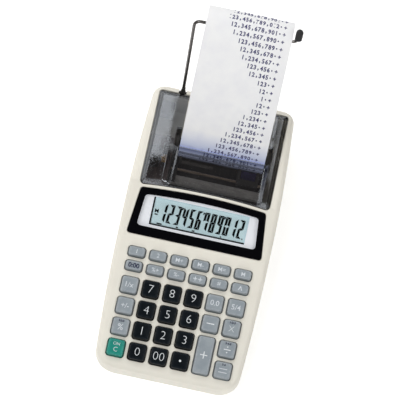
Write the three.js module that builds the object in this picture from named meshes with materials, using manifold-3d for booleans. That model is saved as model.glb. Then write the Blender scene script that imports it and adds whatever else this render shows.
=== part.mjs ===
// Hand-held printing calculator with a raised paper arm and a printed strip.
// Millimetres. +X is to the user's right, +Y towards the printer end, +Z up.
// The case is laid out about its own middle; the last lines move the whole
// part so that its origin is the middle of its bounding box's bottom.
import * as THREE from 'three';
import { mergeVertices } from 'three/addons/utils/BufferGeometryUtils.js';
import Module from 'manifold-3d';

const wasm = await Module();
wasm.setup();

// Fits shared by all pieces
const fit = 0.3; // running or seating gap between two pieces
const overrun = 1; // how far a cutter passes a face

// Case outline
const caseLength = 191;
const caseWidth = 102;
const sideBow = 3.4; // each side is this much narrower at its ends
const frontCorner = 12;
const rearCorner = 7;
const caseWall = 2;
const edgeRound = 2.6; // rounding along the top edges
const footProud = 1; // the feet stand this far below the case
const partingHeight = 9; // the seam between the two shells
const bottomChamfer = 1.8;

// Case top, from the front wall to the rear wall
const lipHeight = 12.4; // top of the straight front wall
const lipDepth = 2.5; // from the front wall to the deck
const lipShare = 0.3; // where the lip's rounding turns, from the front wall
const deckFrontHeight = 15;
const deckAllowance = 19; // case length that the deck and the printer bay don't share
const deckLength = (caseLength - deckAllowance) / 2;
const deckRearHeight = 26.97;
const deckSlope = Math.asin((deckRearHeight - deckFrontHeight) / deckLength);
const panelLength = 34.6;
const panelSlope = THREE.MathUtils.degToRad(22.5);
const ridgeDepth = 1.6;
const ridgeHeight = 41.2;
const rearRound = 2.4;
const rearShare = 0.3; // where the rear rounding turns, from the rear wall

// Keys
const columns = 6;
const keySideMargin = 8.1; // from the case's side to the keys' field
const columnPitch = (caseWidth - keySideMargin * 2) / columns;
const mainRows = 4;
const functionField = 29.4; // deck length that the main rows leave
const rowPitch = (deckLength - functionField) / mainRows;
const frontMargin = 3; // from the deck's front edge to the keys' field
const firstRow = frontMargin + rowPitch / 2; // front row's middle, along the deck
const functionMargin = 6.05; // from the main rows' field to the first small row
const functionRowStep = rowPitch / 2 + functionMargin;
const functionPitch = 9.65;
const sideWeb = 3; // between two caps in a row
const rowWeb = 2.75; // between two main rows' caps
const keyWidth = columnPitch - sideWeb;
const keyDepth = rowPitch - rowWeb;
const functionKeyDepth = 6.8;
const keyCorner = 1.9;
const keyRise = 3.2; // cap above the deck
const keyTaper = 0.85; // each side draws in towards the top
const keyCrown = 0.5; // height of the bevel round the top
const keyGap = 0.4; // between a cap and its hole
const flangeWidth = 0.5; // flange beyond the hole, under the deck
const flangeThickness = 1;
const plungerSize = 4;
const plungerLength = 1;
const keyTravel = 1.5;

// Mat, board and the posts that hold them
const matThickness = 1;
const domeHeight = 0.9;
const domeRadius = 2.6;
const boardThickness = 1.6;
const boardSideRoom = 6.2; // from the case's side
const boardHalfWidth = caseWidth / 2 - boardSideRoom;
const boardFront = 5;
const boardRearRoom = 4; // from the deck's rear edge
const boardLength = deckLength - boardFront - boardRearRoom;
const chipSize = 14;
const chipThickness = 1.4;
const chipShare = 0.7; // along the board's length
const postRadius = 1;
const postShares = [0.1, 0.5, 0.9]; // along the board's length
const postInset = 0.9; // from the board's side edge to a post's middle

// Display
const windowSideRoom = 5.6; // from the case's side
const windowTaper = 3.3; // each side draws in by this much towards the rear
const windowBottomWidth = caseWidth - windowSideRoom * 2;
const windowTopWidth = windowBottomWidth - windowTaper * 2;
const windowDepth = 33.2; // at the middle of its arched top edge
const windowArch = 1.9;
const windowCorner = 2.4;
const windowThickness = 1.4;
const windowFront = 1.1; // from the panel's front edge
const ledgeWidth = 2.2;
const ledgeThickness = 1.6;
const holderSideRoom = 0.7; // inside the window's rear corners
const holderHalfWidth = windowTopWidth / 2 - holderSideRoom;
const holderThickness = 2.4;
const lcdSideRoom = 9.6; // from the window's rear corners to the seen area
const lcdWidth = windowTopWidth - lcdSideRoom * 2;
const lcdDepth = 19;
const lcdFront = 7.6; // seen area's front edge, from the window's
const lcdBorder = 2.6; // glass beyond the seen area
const lcdThickness = 1.8;

// The strip's width and place rule the printer, its cover and the arm
const stripSideRoom = 22.25; // case width beside the strip, on the average side
const paperWidth = caseWidth - stripSideRoom * 2;
const paperMiddle = 5.6; // the printer sits right of the middle
const paperLeft = paperMiddle - paperWidth / 2;
const paperRight = paperMiddle + paperWidth / 2;

// Printer cover
const coverSideRoom = 7.6; // from the case's side
const coverWidth = caseWidth - coverSideRoom * 2;
const coverFrontLap = 1.73; // its front corners reach over the ridge
const coverBow = 2.2; // its front edge arches back in the middle
const coverCorner = 2.6;
const coverSkirt = 37.9; // bottom of its skirts
const coverTop = 43.6;
const coverValley = 41.6; // lower middle over the mechanism
const coverWall = 1.6;
const coverSideDrop = 2.4;
const coverSideRun = 2.8;
const coverFrontRun = 3.6;
const coverFrontDrop = 2.6;
const coverPivotRoom = 8.2; // from the rear wall
const coverPivotY = caseLength / 2 - coverPivotRoom;
const coverPivotZ = 39.5;
const coverPinRadius = 1.1;
const coverPinLength = 1.5;
const coverRearWrap = THREE.MathUtils.degToRad(112); // how far its rear end is rounded
const notchLeftRoom = 0.65; // beside the strip
const notchRightRoom = 0.75;
const notchLeft = paperLeft - notchLeftRoom;
const notchRight = paperRight + notchRightRoom;
const leftSlopeRun = 6.6; // the left arm's slope down to the notch
const rightSlopeRun = 2.2;
const fingerSlotWidth = 3.4; // beside the notch, where the tear bar ends
const fingerSlotLength = 12.4;
const fingerSlotFront = 0.4; // from the tear bar
const bayClearance = 0.4;
const bayWall = 1.8;
const bayBottom = 36.4;
const ledgeReach = 1.2;
const ledgeRise = 1;

// Tear bar, a clear toothed strip
const tearBarThickness = 0.5;
const tearBarHeight = 6.5;
const tearBarStock = 1.3; // from the paper's middle to the bar's middle
const toothPitch = 2;
const toothHeight = 0.7;
const tearBarTop = 44.3;
const tearBarFoot = 1.4; // height of the wider lower band
const tearBarTab = 2; // lower band beyond the notch on each side
const tearLip = 1.4;

// Paper
const paperThickness = 0.3;
const paperFreeLength = 111;
const paperTailFall = 2.4; // from the feed roller to the rear slot
const paperTailRoom = 6; // from the strip's inner end to the rear wall
const paperTailEnd = caseLength / 2 - paperTailRoom;
const paperSteps = 24;
// Share of the free length against the angle in degrees above level
const paperInclineShares = [
  [0, 73], [0.1, 60], [0.21, 50], [0.37, 43], [0.58, 36],
  [0.76, 31], [0.84, 24], [0.91, 8], [0.96, -14], [1, -34],
];
const rodShare = 0.875; // where the arm's rod carries the strip

// Printer mechanism
const feedRollerRadius = 5.5;
const printPointY = 51.1; // where the strip leaves the feed roller
const printPointZ = 34.8;
const shaftRadius = 1.6;
const sleeveOverhang = 0.6; // sleeve beyond the paper's edge
const chassisLeftRoom = 4.45; // beside the strip
const chassisRightRoom = 3.65;
const chassisLeft = paperLeft - chassisLeftRoom;
const chassisRight = paperRight + chassisRightRoom;
const chassisPlate = 2;
const chassisFront = 31;
const chassisRear = 67;
const chassisBase = 1.8;
const chassisShoulder = 34;
const chassisArchRadius = 7.4; // arch over the feed roller's bearing
const chassisArchBack = 3; // the arch's middle lies this far behind the roller
const railDepth = 6;
const railBottom = 31;
const railTop = 34.6;
const blockWidth = 5.4; // end blocks inside the side plates
const blockFront = 44;
const blockRear = 49.4;
const blockBottom = 22.3;
const blockTop = 38;
const guideRodY = 40.8;
const guideRodZ = 35.3;
const guideRodRadius = 1;
const carriageWidth = 14.6;
const carriageFront = 38.2;
const carriageRear = 49.2;
const carriageBottom = 25;
const carriageTop = 38.4;
const cheekWidth = 2;
const inkRollerRadius = 3;
const inkRollerY = 45.7;
const inkRollerZ = 36.1;
const inkPinRadius = 0.9;
const carriageParkGap = 0.5; // from the right end block

// Drive
const toothModule = 0.5;
const feedGearTeeth = 24;
const pinionTeeth = 10;
const backlash = 0.2; // added to the gears' centre distance
const gearThickness = 3;
const toothRootShare = 0.26; // half a tooth's width at its root, of the tooth pitch
const toothTipShare = 0.1;
const gearStandOff = 2.4; // from the side plate
const motorRadius = 7.2;
const motorLength = 8.2;
const motorShaftRadius = 0.75;

// Paper arm
const wireRadius = 1.1;
const armSideRoom = 5.65; // beside the strip
const armX = paperLeft - armSideRoom;
const armLean = 1.6; // the upright leans out by this much
const armBend = 4;
const armPivotRoom = 1.9; // from the rear wall
const armPivotY = caseLength / 2 - armPivotRoom;
const armPivotZ = 38.7;
const hubRadius = 1.9;
const hubLength = 4.6;
const hubReach = 5; // cone up the wire
const hubTipRadius = 1.6;
const hubPinRadius = 0.9;
const hubPinLength = 1.5;
const armNotchFloor = 35.6;
const capRadius = 2.4;
const capLength = 8.4;
const capBore = 5;
const capSideRoom = 3.65; // beside the strip
const capX = paperRight + capSideRoom;
const capBend = 2.6;

// Batteries, inlet and feet
const cellLength = 50.5;
const cellDiameter = 14.5;
const cellCount = 4;
const cellSpare = 0.8; // side room for the cells
const contactSpace = 2.3; // room for their contacts
const bayFront = -5.2;
const batteryWall = 1.6;
const batteryCeiling = 20.2; // top of the battery box
const doorThickness = 1.6;
const doorLedge = 1.2;
const latchWidth = 12;
const latchDepth = 3;
const latchRoom = 3.6; // the cells start this far behind the box's front wall
const bossRadius = 2.6;
const frontBossRoom = 6; // from the case's side
const frontBossX = caseWidth / 2 - frontBossRoom;
const frontBossY = 0;
const rearBossRoom = 5.4; // from the case's side
const rearBossX = caseWidth / 2 - rearBossRoom;
const rearBossBack = 19.5; // from the rear wall
const rearBossY = caseLength / 2 - rearBossBack;
const screwBore = 1.2;
const screwHead = 2;
const jackRoom = 14.5; // from the case's side
const jackX = jackRoom - caseWidth / 2;
const jackZ = 15.4;
const jackSize = 9;
const jackLength = 12;
const jackBore = 3.1;
const jackBoreDepth = 9;
const slotBottom = 22.3;
const slotHeight = 4.8;
const slotSpare = 1.2; // each side of the strip
const footLength = 60;
const footWidth = 6;
const footInset = 9.5; // from the case's end to the strip
const footRecess = 0.6;

// Facets
const cornerSteps = 4;
const wireSides = 8;
const domeSides = 6;
const mergeShare = 0.001; // stations closer than this share of the length are one
const roundSides = 12;
const rollerSides = 20;
const bowSteps = 8;

// A closed solid for joining and cutting
function solid(geometry) {
  const bare = geometry.clone();
  bare.deleteAttribute('normal');
  bare.deleteAttribute('uv');
  const merged = mergeVertices(bare);
  const vertProperties = new Float32Array(merged.attributes.position.array);
  const triVerts = new Uint32Array(merged.index.array);
  return new wasm.Manifold(new wasm.Mesh({ numProp: 3, vertProperties, triVerts }));
}

function geometryOf(shape) {
  const mesh = shape.getMesh();
  const geometry = new THREE.BufferGeometry();
  geometry.setAttribute('position', new THREE.BufferAttribute(mesh.vertProperties, mesh.numProp));
  geometry.setIndex(new THREE.BufferAttribute(mesh.triVerts, 1));
  geometry.computeVertexNormals();
  return geometry;
}

function joined(shapes) {
  return shapes.reduce((whole, shape) => whole.add(shape));
}

// Box between two opposite corners
function box(x0, x1, y0, y1, z0, z1) {
  const geometry = new THREE.BoxGeometry(x1 - x0, y1 - y0, z1 - z0);
  return geometry.translate((x0 + x1) / 2, (y0 + y1) / 2, (z0 + z1) / 2);
}

// Upright cylinder
function post(x, y, z0, z1, radius) {
  const geometry = new THREE.CylinderGeometry(radius, radius, z1 - z0, roundSides);
  return geometry.rotateX(Math.PI / 2).translate(x, y, (z0 + z1) / 2);
}

// Cylinder lying along X
function bar(x0, x1, y, z, radius) {
  const geometry = new THREE.CylinderGeometry(radius, radius, x1 - x0, roundSides);
  return geometry.rotateZ(Math.PI / 2).translate((x0 + x1) / 2, y, z);
}

// Turns an extrusion so that its X runs along Y, its Y along Z and its depth along X
function layAlongX(geometry, x, y, z) {
  const turn = new THREE.Matrix4().makeBasis(
    new THREE.Vector3(0, 1, 0), new THREE.Vector3(0, 0, 1), new THREE.Vector3(1, 0, 0));
  return geometry.applyMatrix4(turn.setPosition(x, y, z));
}

// Outline in Y and Z, given as points, carried along X
function alongX(points, x0, x1) {
  const shape = new THREE.Shape(points.map(([y, z]) => new THREE.Vector2(y, z)));
  const geometry = new THREE.ExtrudeGeometry(shape, { depth: x1 - x0, bevelEnabled: false });
  return layAlongX(geometry, x0, 0, 0);
}

// Outline in X and Z, given as points, carried along Y
function alongY(points, y0, y1) {
  const shape = new THREE.Shape(points.map(([x, z]) => new THREE.Vector2(x, z)));
  const geometry = new THREE.ExtrudeGeometry(shape, { depth: y1 - y0, bevelEnabled: false });
  return geometry.rotateX(Math.PI / 2).translate(0, y1, 0);
}

// Outline in X and Y carried upwards
function upright(shape, z0, z1) {
  const geometry = new THREE.ExtrudeGeometry(shape, { depth: z1 - z0, bevelEnabled: false });
  return geometry.translate(0, 0, z0);
}

// Closed skin over rings of equally many points, each ring convex
function skin(rings) {
  const count = rings[0].length;
  const last = (rings.length - 1) * count;
  const index = [];
  for (let r = 0; r + 1 < rings.length; r += 1) {
    for (let k = 0; k < count; k += 1) {
      const here = r * count + k;
      const beside = r * count + ((k + 1) % count);
      index.push(here, beside, beside + count, here, beside + count, here + count);
    }
  }
  for (let k = 1; k + 1 < count; k += 1) {
    index.push(0, k + 1, k, last, last + k, last + k + 1);
  }
  const geometry = new THREE.BufferGeometry();
  geometry.setAttribute('position', new THREE.Float32BufferAttribute(rings.flat(2), 3));
  geometry.setIndex(index);
  return geometry;
}

// Straight-line reading of a table of pairs
function readTable(table, at) {
  const next = table.findIndex(([place]) => place >= at);
  if (next < 0) {
    return table[table.length - 1][1];
  }
  if (next === 0) {
    return table[0][1];
  }
  const [place0, value0] = table[next - 1];
  const [place1, value1] = table[next];
  return value0 + ((value1 - value0) * (at - place0)) / (place1 - place0);
}

// Places worked out from the sizes
const halfLength = caseLength / 2;
const deckFrontY = lipDepth - halfLength;
const panelFrontY = deckFrontY + deckLength * Math.cos(deckSlope);
const panelFrontZ = deckFrontHeight + deckLength * Math.sin(deckSlope);
const ridgeFrontY = panelFrontY + panelLength * Math.cos(panelSlope);
const ridgeFrontZ = panelFrontZ + panelLength * Math.sin(panelSlope);
const coverFront = ridgeFrontY + ridgeDepth - coverFrontLap;
const underside = footProud;
const floorTop = underside + caseWall;
const seam = partingHeight + fit;

// The case's top line, front to rear
const topLine = [
  [-halfLength, lipHeight],
  [lipDepth * lipShare - halfLength, (lipHeight + deckFrontHeight * 2) / 3],
  [deckFrontY, deckFrontHeight],
  [panelFrontY, panelFrontZ],
  [ridgeFrontY, ridgeFrontZ],
  [ridgeFrontY + ridgeDepth, ridgeHeight],
  [halfLength - rearRound, ridgeHeight],
  [halfLength - rearRound * rearShare, ridgeHeight - rearRound * rearShare],
  [halfLength, ridgeHeight - rearRound],
];

// Half the width of the bowed outline, drawn in all round by inset
function halfWidthAt(y, inset) {
  const side = caseWidth / 2 - inset - sideBow * (y / halfLength) ** 2;
  const corner = (y < 0 ? frontCorner : rearCorner) - inset;
  const drop = corner - (halfLength - inset - Math.abs(y));
  if (drop <= 0) {
    return side;
  }
  return side - corner + Math.sqrt(Math.max(corner * corner - drop * drop, 0));
}

// Places along Y where the outline or the top line turns
function caseStations(inset) {
  const end = halfLength - inset;
  const places = topLine.map(([y]) => y).filter((y) => Math.abs(y) < end);
  for (let k = 0; k <= cornerSteps; k += 1) {
    const share = 1 - Math.cos((k / cornerSteps) * (Math.PI / 2));
    places.push(-end + (frontCorner - inset) * share);
    places.push(end - (rearCorner - inset) * share);
  }
  for (let k = 1; k < bowSteps; k += 1) {
    places.push(-halfLength + (caseLength * k) / bowSteps);
  }
  places.sort((a, b) => a - b);
  return places.filter((y, k) => k === 0 || y - places[k - 1] > caseLength * mergeShare);
}

// The case as a full body: outline drawn in, top lowered, edges rounded
function caseBody(inset, bottom) {
  const round = edgeRound - inset / 2;
  const rings = caseStations(inset).map((y) => {
    const half = halfWidthAt(y, inset);
    const top = readTable(topLine, y) - inset;
    const diagonal = round * (1 - Math.SQRT1_2);
    return [
      [-half, y, bottom],
      [-half, y, top - round],
      [diagonal - half, y, top - diagonal],
      [round - half, y, top],
      [half - round, y, top],
      [half - diagonal, y, top - diagonal],
      [half, y, top - round],
      [half, y, bottom],
    ];
  });
  return skin(rings);
}

// Bottom tray: the same outline with its lower edge bevelled
function trayBody(inset, bottom, top) {
  const rings = caseStations(inset).map((y) => {
    const half = halfWidthAt(y, inset);
    const bevel = bottomChamfer;
    return [
      [bevel - half, y, bottom],
      [-half, y, bottom + bevel],
      [-half, y, top],
      [half, y, top],
      [half, y, bottom + bevel],
      [half - bevel, y, bottom],
    ];
  });
  return skin(rings);
}

// Frames of the sloping surfaces: X across, Y up the slope, Z off the surface
const deckFrame = new THREE.Matrix4().makeRotationX(deckSlope)
  .setPosition(0, deckFrontY, deckFrontHeight);
const panelFrame = new THREE.Matrix4().makeRotationX(panelSlope)
  .setPosition(0, panelFrontY, panelFrontZ);

// Keys: name, column, rows from the front, kind
const mainKeys = [
  ['key_clear', 0, 0, 'green'], ['key_0', 1, 0, 'black'], ['key_00', 2, 0, 'black'],
  ['key_point', 3, 0, 'black'], ['key_equals', 5, 0, 'grey'],
  ['key_percent', 0, 1, 'grey'], ['key_1', 1, 1, 'black'], ['key_2', 2, 1, 'black'],
  ['key_3', 3, 1, 'black'], ['key_divide', 5, 1, 'grey'],
  ['key_sign', 0, 2, 'grey'], ['key_4', 1, 2, 'black'], ['key_5', 2, 2, 'black'],
  ['key_6', 3, 2, 'black'], ['key_minus', 4, 2, 'grey'], ['key_multiply', 5, 2, 'grey'],
  ['key_root', 0, 3, 'grey'], ['key_7', 1, 3, 'black'], ['key_8', 2, 3, 'black'],
  ['key_9', 3, 3, 'black'], ['key_decimals', 4, 3, 'grey'], ['key_round', 5, 3, 'grey'],
];
const functionKeys = [
  ['key_time', 'key_date', 'key_tax_add', 'key_tax_take', 'key_print', 'key_feed'],
  ['key_rate_one', 'key_rate_two', 'key_memory_add', 'key_memory_take',
    'key_memory_recall', 'key_memory_clear'],
];
const lastMainRow = 3;
const keyColours = { black: 0x1c2227, grey: 0x9aa2a9, green: 0x2c9c7d };

function columnX(column) {
  return (column - (columns - 1) / 2) * columnPitch;
}

// Every key with its middle, size and kind, in the deck's frame
const keyPlan = [
  ...mainKeys.map(([name, column, row, kind]) => ({
    name, kind, x: columnX(column), y: firstRow + row * rowPitch, width: keyWidth, depth: keyDepth,
  })),
  {
    name: 'key_plus', kind: 'grey', x: columnX(4), y: firstRow + rowPitch / 2,
    width: keyWidth, depth: keyDepth + rowPitch,
  },
  ...functionKeys.flatMap((names, row) => names.map((name, column) => ({
    name, kind: 'grey', x: columnX(column),
    y: firstRow + lastMainRow * rowPitch + functionRowStep + row * functionPitch,
    width: keyWidth, depth: functionKeyDepth,
  }))),
];

// Rectangle with cut corners, as a ring at height z
function keyRing(width, depth, corner, z) {
  const a = width / 2;
  const b = depth / 2;
  const c = corner * (1 - Math.SQRT1_2) * 2;
  return [
    [a, c - b, z], [a, b - c, z], [a - c, b, z], [c - a, b, z],
    [-a, b - c, z], [-a, c - b, z], [c - a, -b, z], [a - c, -b, z],
  ];
}

const deckUnder = -caseWall - fit; // top of the flange, off the deck
const flangeUnder = deckUnder - flangeThickness;
const plungerEnd = flangeUnder - plungerLength;

// One key: plunger, flange, skirt and bevelled cap in one moulding
function keyGeometry({ width, depth }) {
  const spread = (keyGap + flangeWidth) * 2;
  return skin([
    keyRing(plungerSize, plungerSize, keyCorner / 2, plungerEnd),
    keyRing(plungerSize, plungerSize, keyCorner / 2, flangeUnder),
    keyRing(width + spread, depth + spread, keyCorner / 2, flangeUnder),
    keyRing(width + spread, depth + spread, keyCorner / 2, deckUnder),
    keyRing(width, depth, keyCorner, deckUnder),
    keyRing(width, depth, keyCorner, 0),
    keyRing(width - keyTaper, depth - keyTaper, keyCorner, keyRise - keyCrown),
    keyRing(width - keyTaper - keyCrown * 2, depth - keyTaper - keyCrown * 2, keyCorner, keyRise),
  ]);
}

// Paper strip: tail, half turn round the feed roller, then the free stretch
const paperOffset = feedRollerRadius + fit + paperThickness / 2;
const startAngle = THREE.MathUtils.degToRad(paperInclineShares[0][1]);
const rollerY = printPointY + paperOffset * Math.sin(startAngle);
const rollerZ = printPointZ - paperOffset * Math.cos(startAngle);

// Middle line of the free stretch, as [y, z, angle above level]
function freePath() {
  const step = paperFreeLength / paperSteps;
  const path = [[printPointY, printPointZ, startAngle]];
  for (let k = 1; k <= paperSteps; k += 1) {
    const [y, z] = path[path.length - 1];
    const angle = THREE.MathUtils.degToRad(readTable(paperInclineShares, (k - 0.5) / paperSteps));
    path.push([y + step * Math.cos(angle), z + step * Math.sin(angle), angle]);
  }
  return path;
}

// Middle line of the whole strip, from its tail in the rear to its free end
function paperPath() {
  const tailEnd = [paperTailEnd, rollerZ - paperOffset - paperTailFall];
  const tailAngle = Math.atan2(rollerZ - paperOffset - tailEnd[1], rollerY - tailEnd[0]);
  const path = [[...tailEnd, tailAngle]];
  const turn = roundSides;
  const from = tailAngle;
  for (let k = 0; k < turn; k += 1) {
    const heading = from + ((startAngle - from) * k) / turn;
    path.push([
      rollerY - paperOffset * Math.sin(heading),
      rollerZ + paperOffset * Math.cos(heading),
      heading,
    ]);
  }
  return path.concat(freePath());
}

function paperGeometry() {
  const half = paperThickness / 2;
  const rings = paperPath().map(([y, z, angle]) => {
    const dy = -Math.sin(angle) * half;
    const dz = Math.cos(angle) * half;
    return [
      [paperLeft, y - dy, z - dz], [paperLeft, y + dy, z + dz],
      [paperRight, y + dy, z + dz], [paperRight, y - dy, z - dz],
    ];
  });
  return skin(rings);
}

// The arm's rod lies just under the strip, and the arm points at it
const rodStation = freePath()[Math.round(rodShare * paperSteps)];
const rodDrop = wireRadius + paperThickness / 2 + fit;
const rodY = rodStation[0] + rodDrop * Math.sin(rodStation[2]);
const rodZ = rodStation[1] - rodDrop * Math.cos(rodStation[2]);
const armReach = Math.hypot(rodY - armPivotY, rodZ - armPivotZ);
const armIncline = Math.atan2(rodZ - armPivotZ, rodY - armPivotY);

// Cover outline in plan, grown all round
function coverOutline(grow) {
  const half = coverWidth / 2 + grow;
  const corner = coverCorner + grow;
  const front = coverFront - grow;
  const rear = coverPivotY + (coverTop - coverPivotZ) + grow;
  const shape = new THREE.Shape();
  shape.moveTo(-half, front + corner);
  shape.quadraticCurveTo(-half, front, corner - half, front);
  shape.quadraticCurveTo(0, front + coverBow * 2, half - corner, front);
  shape.quadraticCurveTo(half, front, half, front + corner);
  shape.lineTo(half, rear);
  shape.lineTo(-half, rear);
  return shape;
}

function outlineExtrude(shape, z0, z1) {
  const options = { depth: z1 - z0, bevelEnabled: false, curveSegments: bowSteps };
  return new THREE.ExtrudeGeometry(shape, options).translate(0, 0, z0);
}

// Height of the cover across its width, from its left edge
function coverAcross(drop) {
  const half = coverWidth / 2;
  const top = coverTop - drop;
  const valley = coverValley - drop;
  const base = coverSkirt - overrun;
  return [
    [-half, base], [half, base],
    [half, top - coverSideDrop], [half - coverSideRun, top],
    [notchRight + rightSlopeRun, top], [notchRight, valley],
    [notchLeft, valley], [notchLeft - leftSlopeRun, top],
    [coverSideRun - half, top], [-half, top - coverSideDrop],
  ];
}

// Side view of the cover: sloped nose and a rear rounded about its pivot
function coverAlong(drop) {
  const top = coverTop - drop;
  const radius = top - coverPivotZ;
  const base = coverSkirt - overrun;
  const points = [
    [coverPivotY, base], [coverFront - overrun, base],
    [coverFront - overrun, top - coverFrontDrop], [coverFront, top - coverFrontDrop],
    [coverFront + coverFrontRun, top],
  ];
  for (let k = 0; k <= cornerSteps * 2; k += 1) {
    const angle = Math.PI / 2 - (k / (cornerSteps * 2)) * coverRearWrap;
    points.push([coverPivotY + radius * Math.cos(angle), coverPivotZ + radius * Math.sin(angle)]);
  }
  return points;
}

function coverBody(inset) {
  const base = coverSkirt - (inset > 0 ? overrun / 2 : 0);
  const half = coverWidth / 2;
  const plan = solid(outlineExtrude(coverOutline(-inset), base, coverTop + overrun));
  const across = solid(alongY(coverAcross(inset), 0, caseLength));
  const along = solid(alongX(coverAlong(inset), -half - overrun, half + overrun));
  return plan.intersect(across).intersect(along);
}

// Tear bar frame: X across, Y up along the strip, Z off it towards the user
const pastBar = freePath().find(([, z]) => z >= tearBarTop);
const paperAtBarY = pastBar[0] - (pastBar[1] - tearBarTop) / Math.tan(pastBar[2]);
const tearAngle = Math.atan2(tearBarTop - printPointZ, paperAtBarY - printPointY);
const tearY = paperAtBarY - tearBarStock / Math.sin(tearAngle);
const tearFrame = new THREE.Matrix4().makeRotationX(tearAngle)
  .setPosition(0, tearY, tearBarTop);

function tearBarGeometry() {
  const left = notchLeft + fit * 2;
  const right = notchRight - fit * 2;
  const half = tearBarThickness / 2;
  const shape = new THREE.Shape();
  shape.moveTo(left - tearBarTab - fit, -tearBarHeight);
  shape.lineTo(right + tearBarTab + fit, -tearBarHeight);
  shape.lineTo(right + tearBarTab + fit, tearBarFoot - tearBarHeight);
  shape.lineTo(right, tearBarFoot - tearBarHeight);
  const teeth = Math.round((right - left) / toothPitch);
  const pitch = (right - left) / teeth;
  shape.lineTo(right, -toothHeight);
  for (let k = 0; k < teeth; k += 1) {
    shape.lineTo(right - (k + 0.5) * pitch, 0);
    shape.lineTo(right - (k + 1) * pitch, -toothHeight);
  }
  shape.lineTo(left, tearBarFoot - tearBarHeight);
  shape.lineTo(left - tearBarTab - fit, tearBarFoot - tearBarHeight);
  return upright(shape, -half, half);
}

function printerCover() {
  const half = coverWidth / 2;
  const rear = halfLength + overrun;
  const plateDrop = tearBarTop - coverValley + coverWall;
  const notchFront = tearY - plateDrop / Math.tan(tearAngle) - tearBarThickness - fit;
  const notch = solid(box(notchLeft, notchRight, notchFront, rear, 0, coverTop + overrun));
  const lip = solid(box(
    notchLeft, notchRight, -tearBarHeight, (coverWall / 2 - plateDrop) / Math.sin(tearAngle),
    tearBarThickness / 2 + fit, tearBarThickness / 2 + fit + tearLip,
  ).applyMatrix4(tearFrame));
  const slots = [notchLeft - fingerSlotWidth, notchRight].map((left) => {
    const front = tearY + fingerSlotFront;
    const end = front + fingerSlotLength - fingerSlotWidth / 2;
    const right = left + fingerSlotWidth;
    const cut = solid(box(left, right, front, end, 0, coverTop + overrun));
    return cut.add(solid(post((left + right) / 2, end, 0, coverTop + overrun, fingerSlotWidth / 2)));
  });
  const pins = [-1, 1].map((side) => {
    const inner = half - coverWall;
    const outer = half + coverPinLength;
    return solid(bar(
      Math.min(side * inner, side * outer), Math.max(side * inner, side * outer),
      coverPivotY, coverPivotZ, coverPinRadius,
    ));
  });
  const shell = coverBody(0).subtract(coverBody(coverWall)).subtract(joined([notch, ...slots]));
  return geometryOf(joined([shell, lip, ...pins]));
}

// Window outline: straight front edge, arched rear edge, in the panel's frame
function windowOutline(grow) {
  const front = windowFront - grow;
  const rear = windowFront + windowDepth - windowArch + grow;
  const a = windowBottomWidth / 2 + grow;
  const b = windowTopWidth / 2 + grow;
  const c = windowCorner;
  const shape = new THREE.Shape();
  shape.moveTo(c - a, front);
  shape.lineTo(a - c, front);
  shape.quadraticCurveTo(a, front, a, front + c);
  shape.lineTo(b, rear - c);
  shape.quadraticCurveTo(b, rear, b - c, rear);
  shape.quadraticCurveTo(0, rear + windowArch * 2, c - b, rear);
  shape.quadraticCurveTo(-b, rear, -b, rear - c);
  shape.lineTo(-a, front + c);
  shape.quadraticCurveTo(-a, front, c - a, front);
  return shape;
}

const windowUnder = -windowThickness;
const ledgeUnder = windowUnder - fit - ledgeThickness;
const holderTop = ledgeUnder - fit;
const lcdMiddle = windowFront + lcdFront + lcdDepth / 2;

function holderGeometry() {
  const front = windowFront + ledgeWidth;
  const rear = windowFront + windowDepth - windowArch - ledgeWidth;
  const under = holderTop - holderThickness;
  const plate = solid(box(-holderHalfWidth, holderHalfWidth, front, rear, under, holderTop));
  const hole = solid(box(
    -lcdWidth / 2, lcdWidth / 2, lcdMiddle - lcdDepth / 2, lcdMiddle + lcdDepth / 2,
    under - overrun, holderTop + overrun,
  ));
  return geometryOf(plate.subtract(hole));
}

function lcdGeometry() {
  const top = holderTop - holderThickness - fit;
  const halfWidth = lcdWidth / 2 + lcdBorder;
  const halfDepth = lcdDepth / 2 + lcdBorder;
  return box(
    -halfWidth, halfWidth, lcdMiddle - halfDepth, lcdMiddle + halfDepth, top - lcdThickness, top);
}

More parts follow.
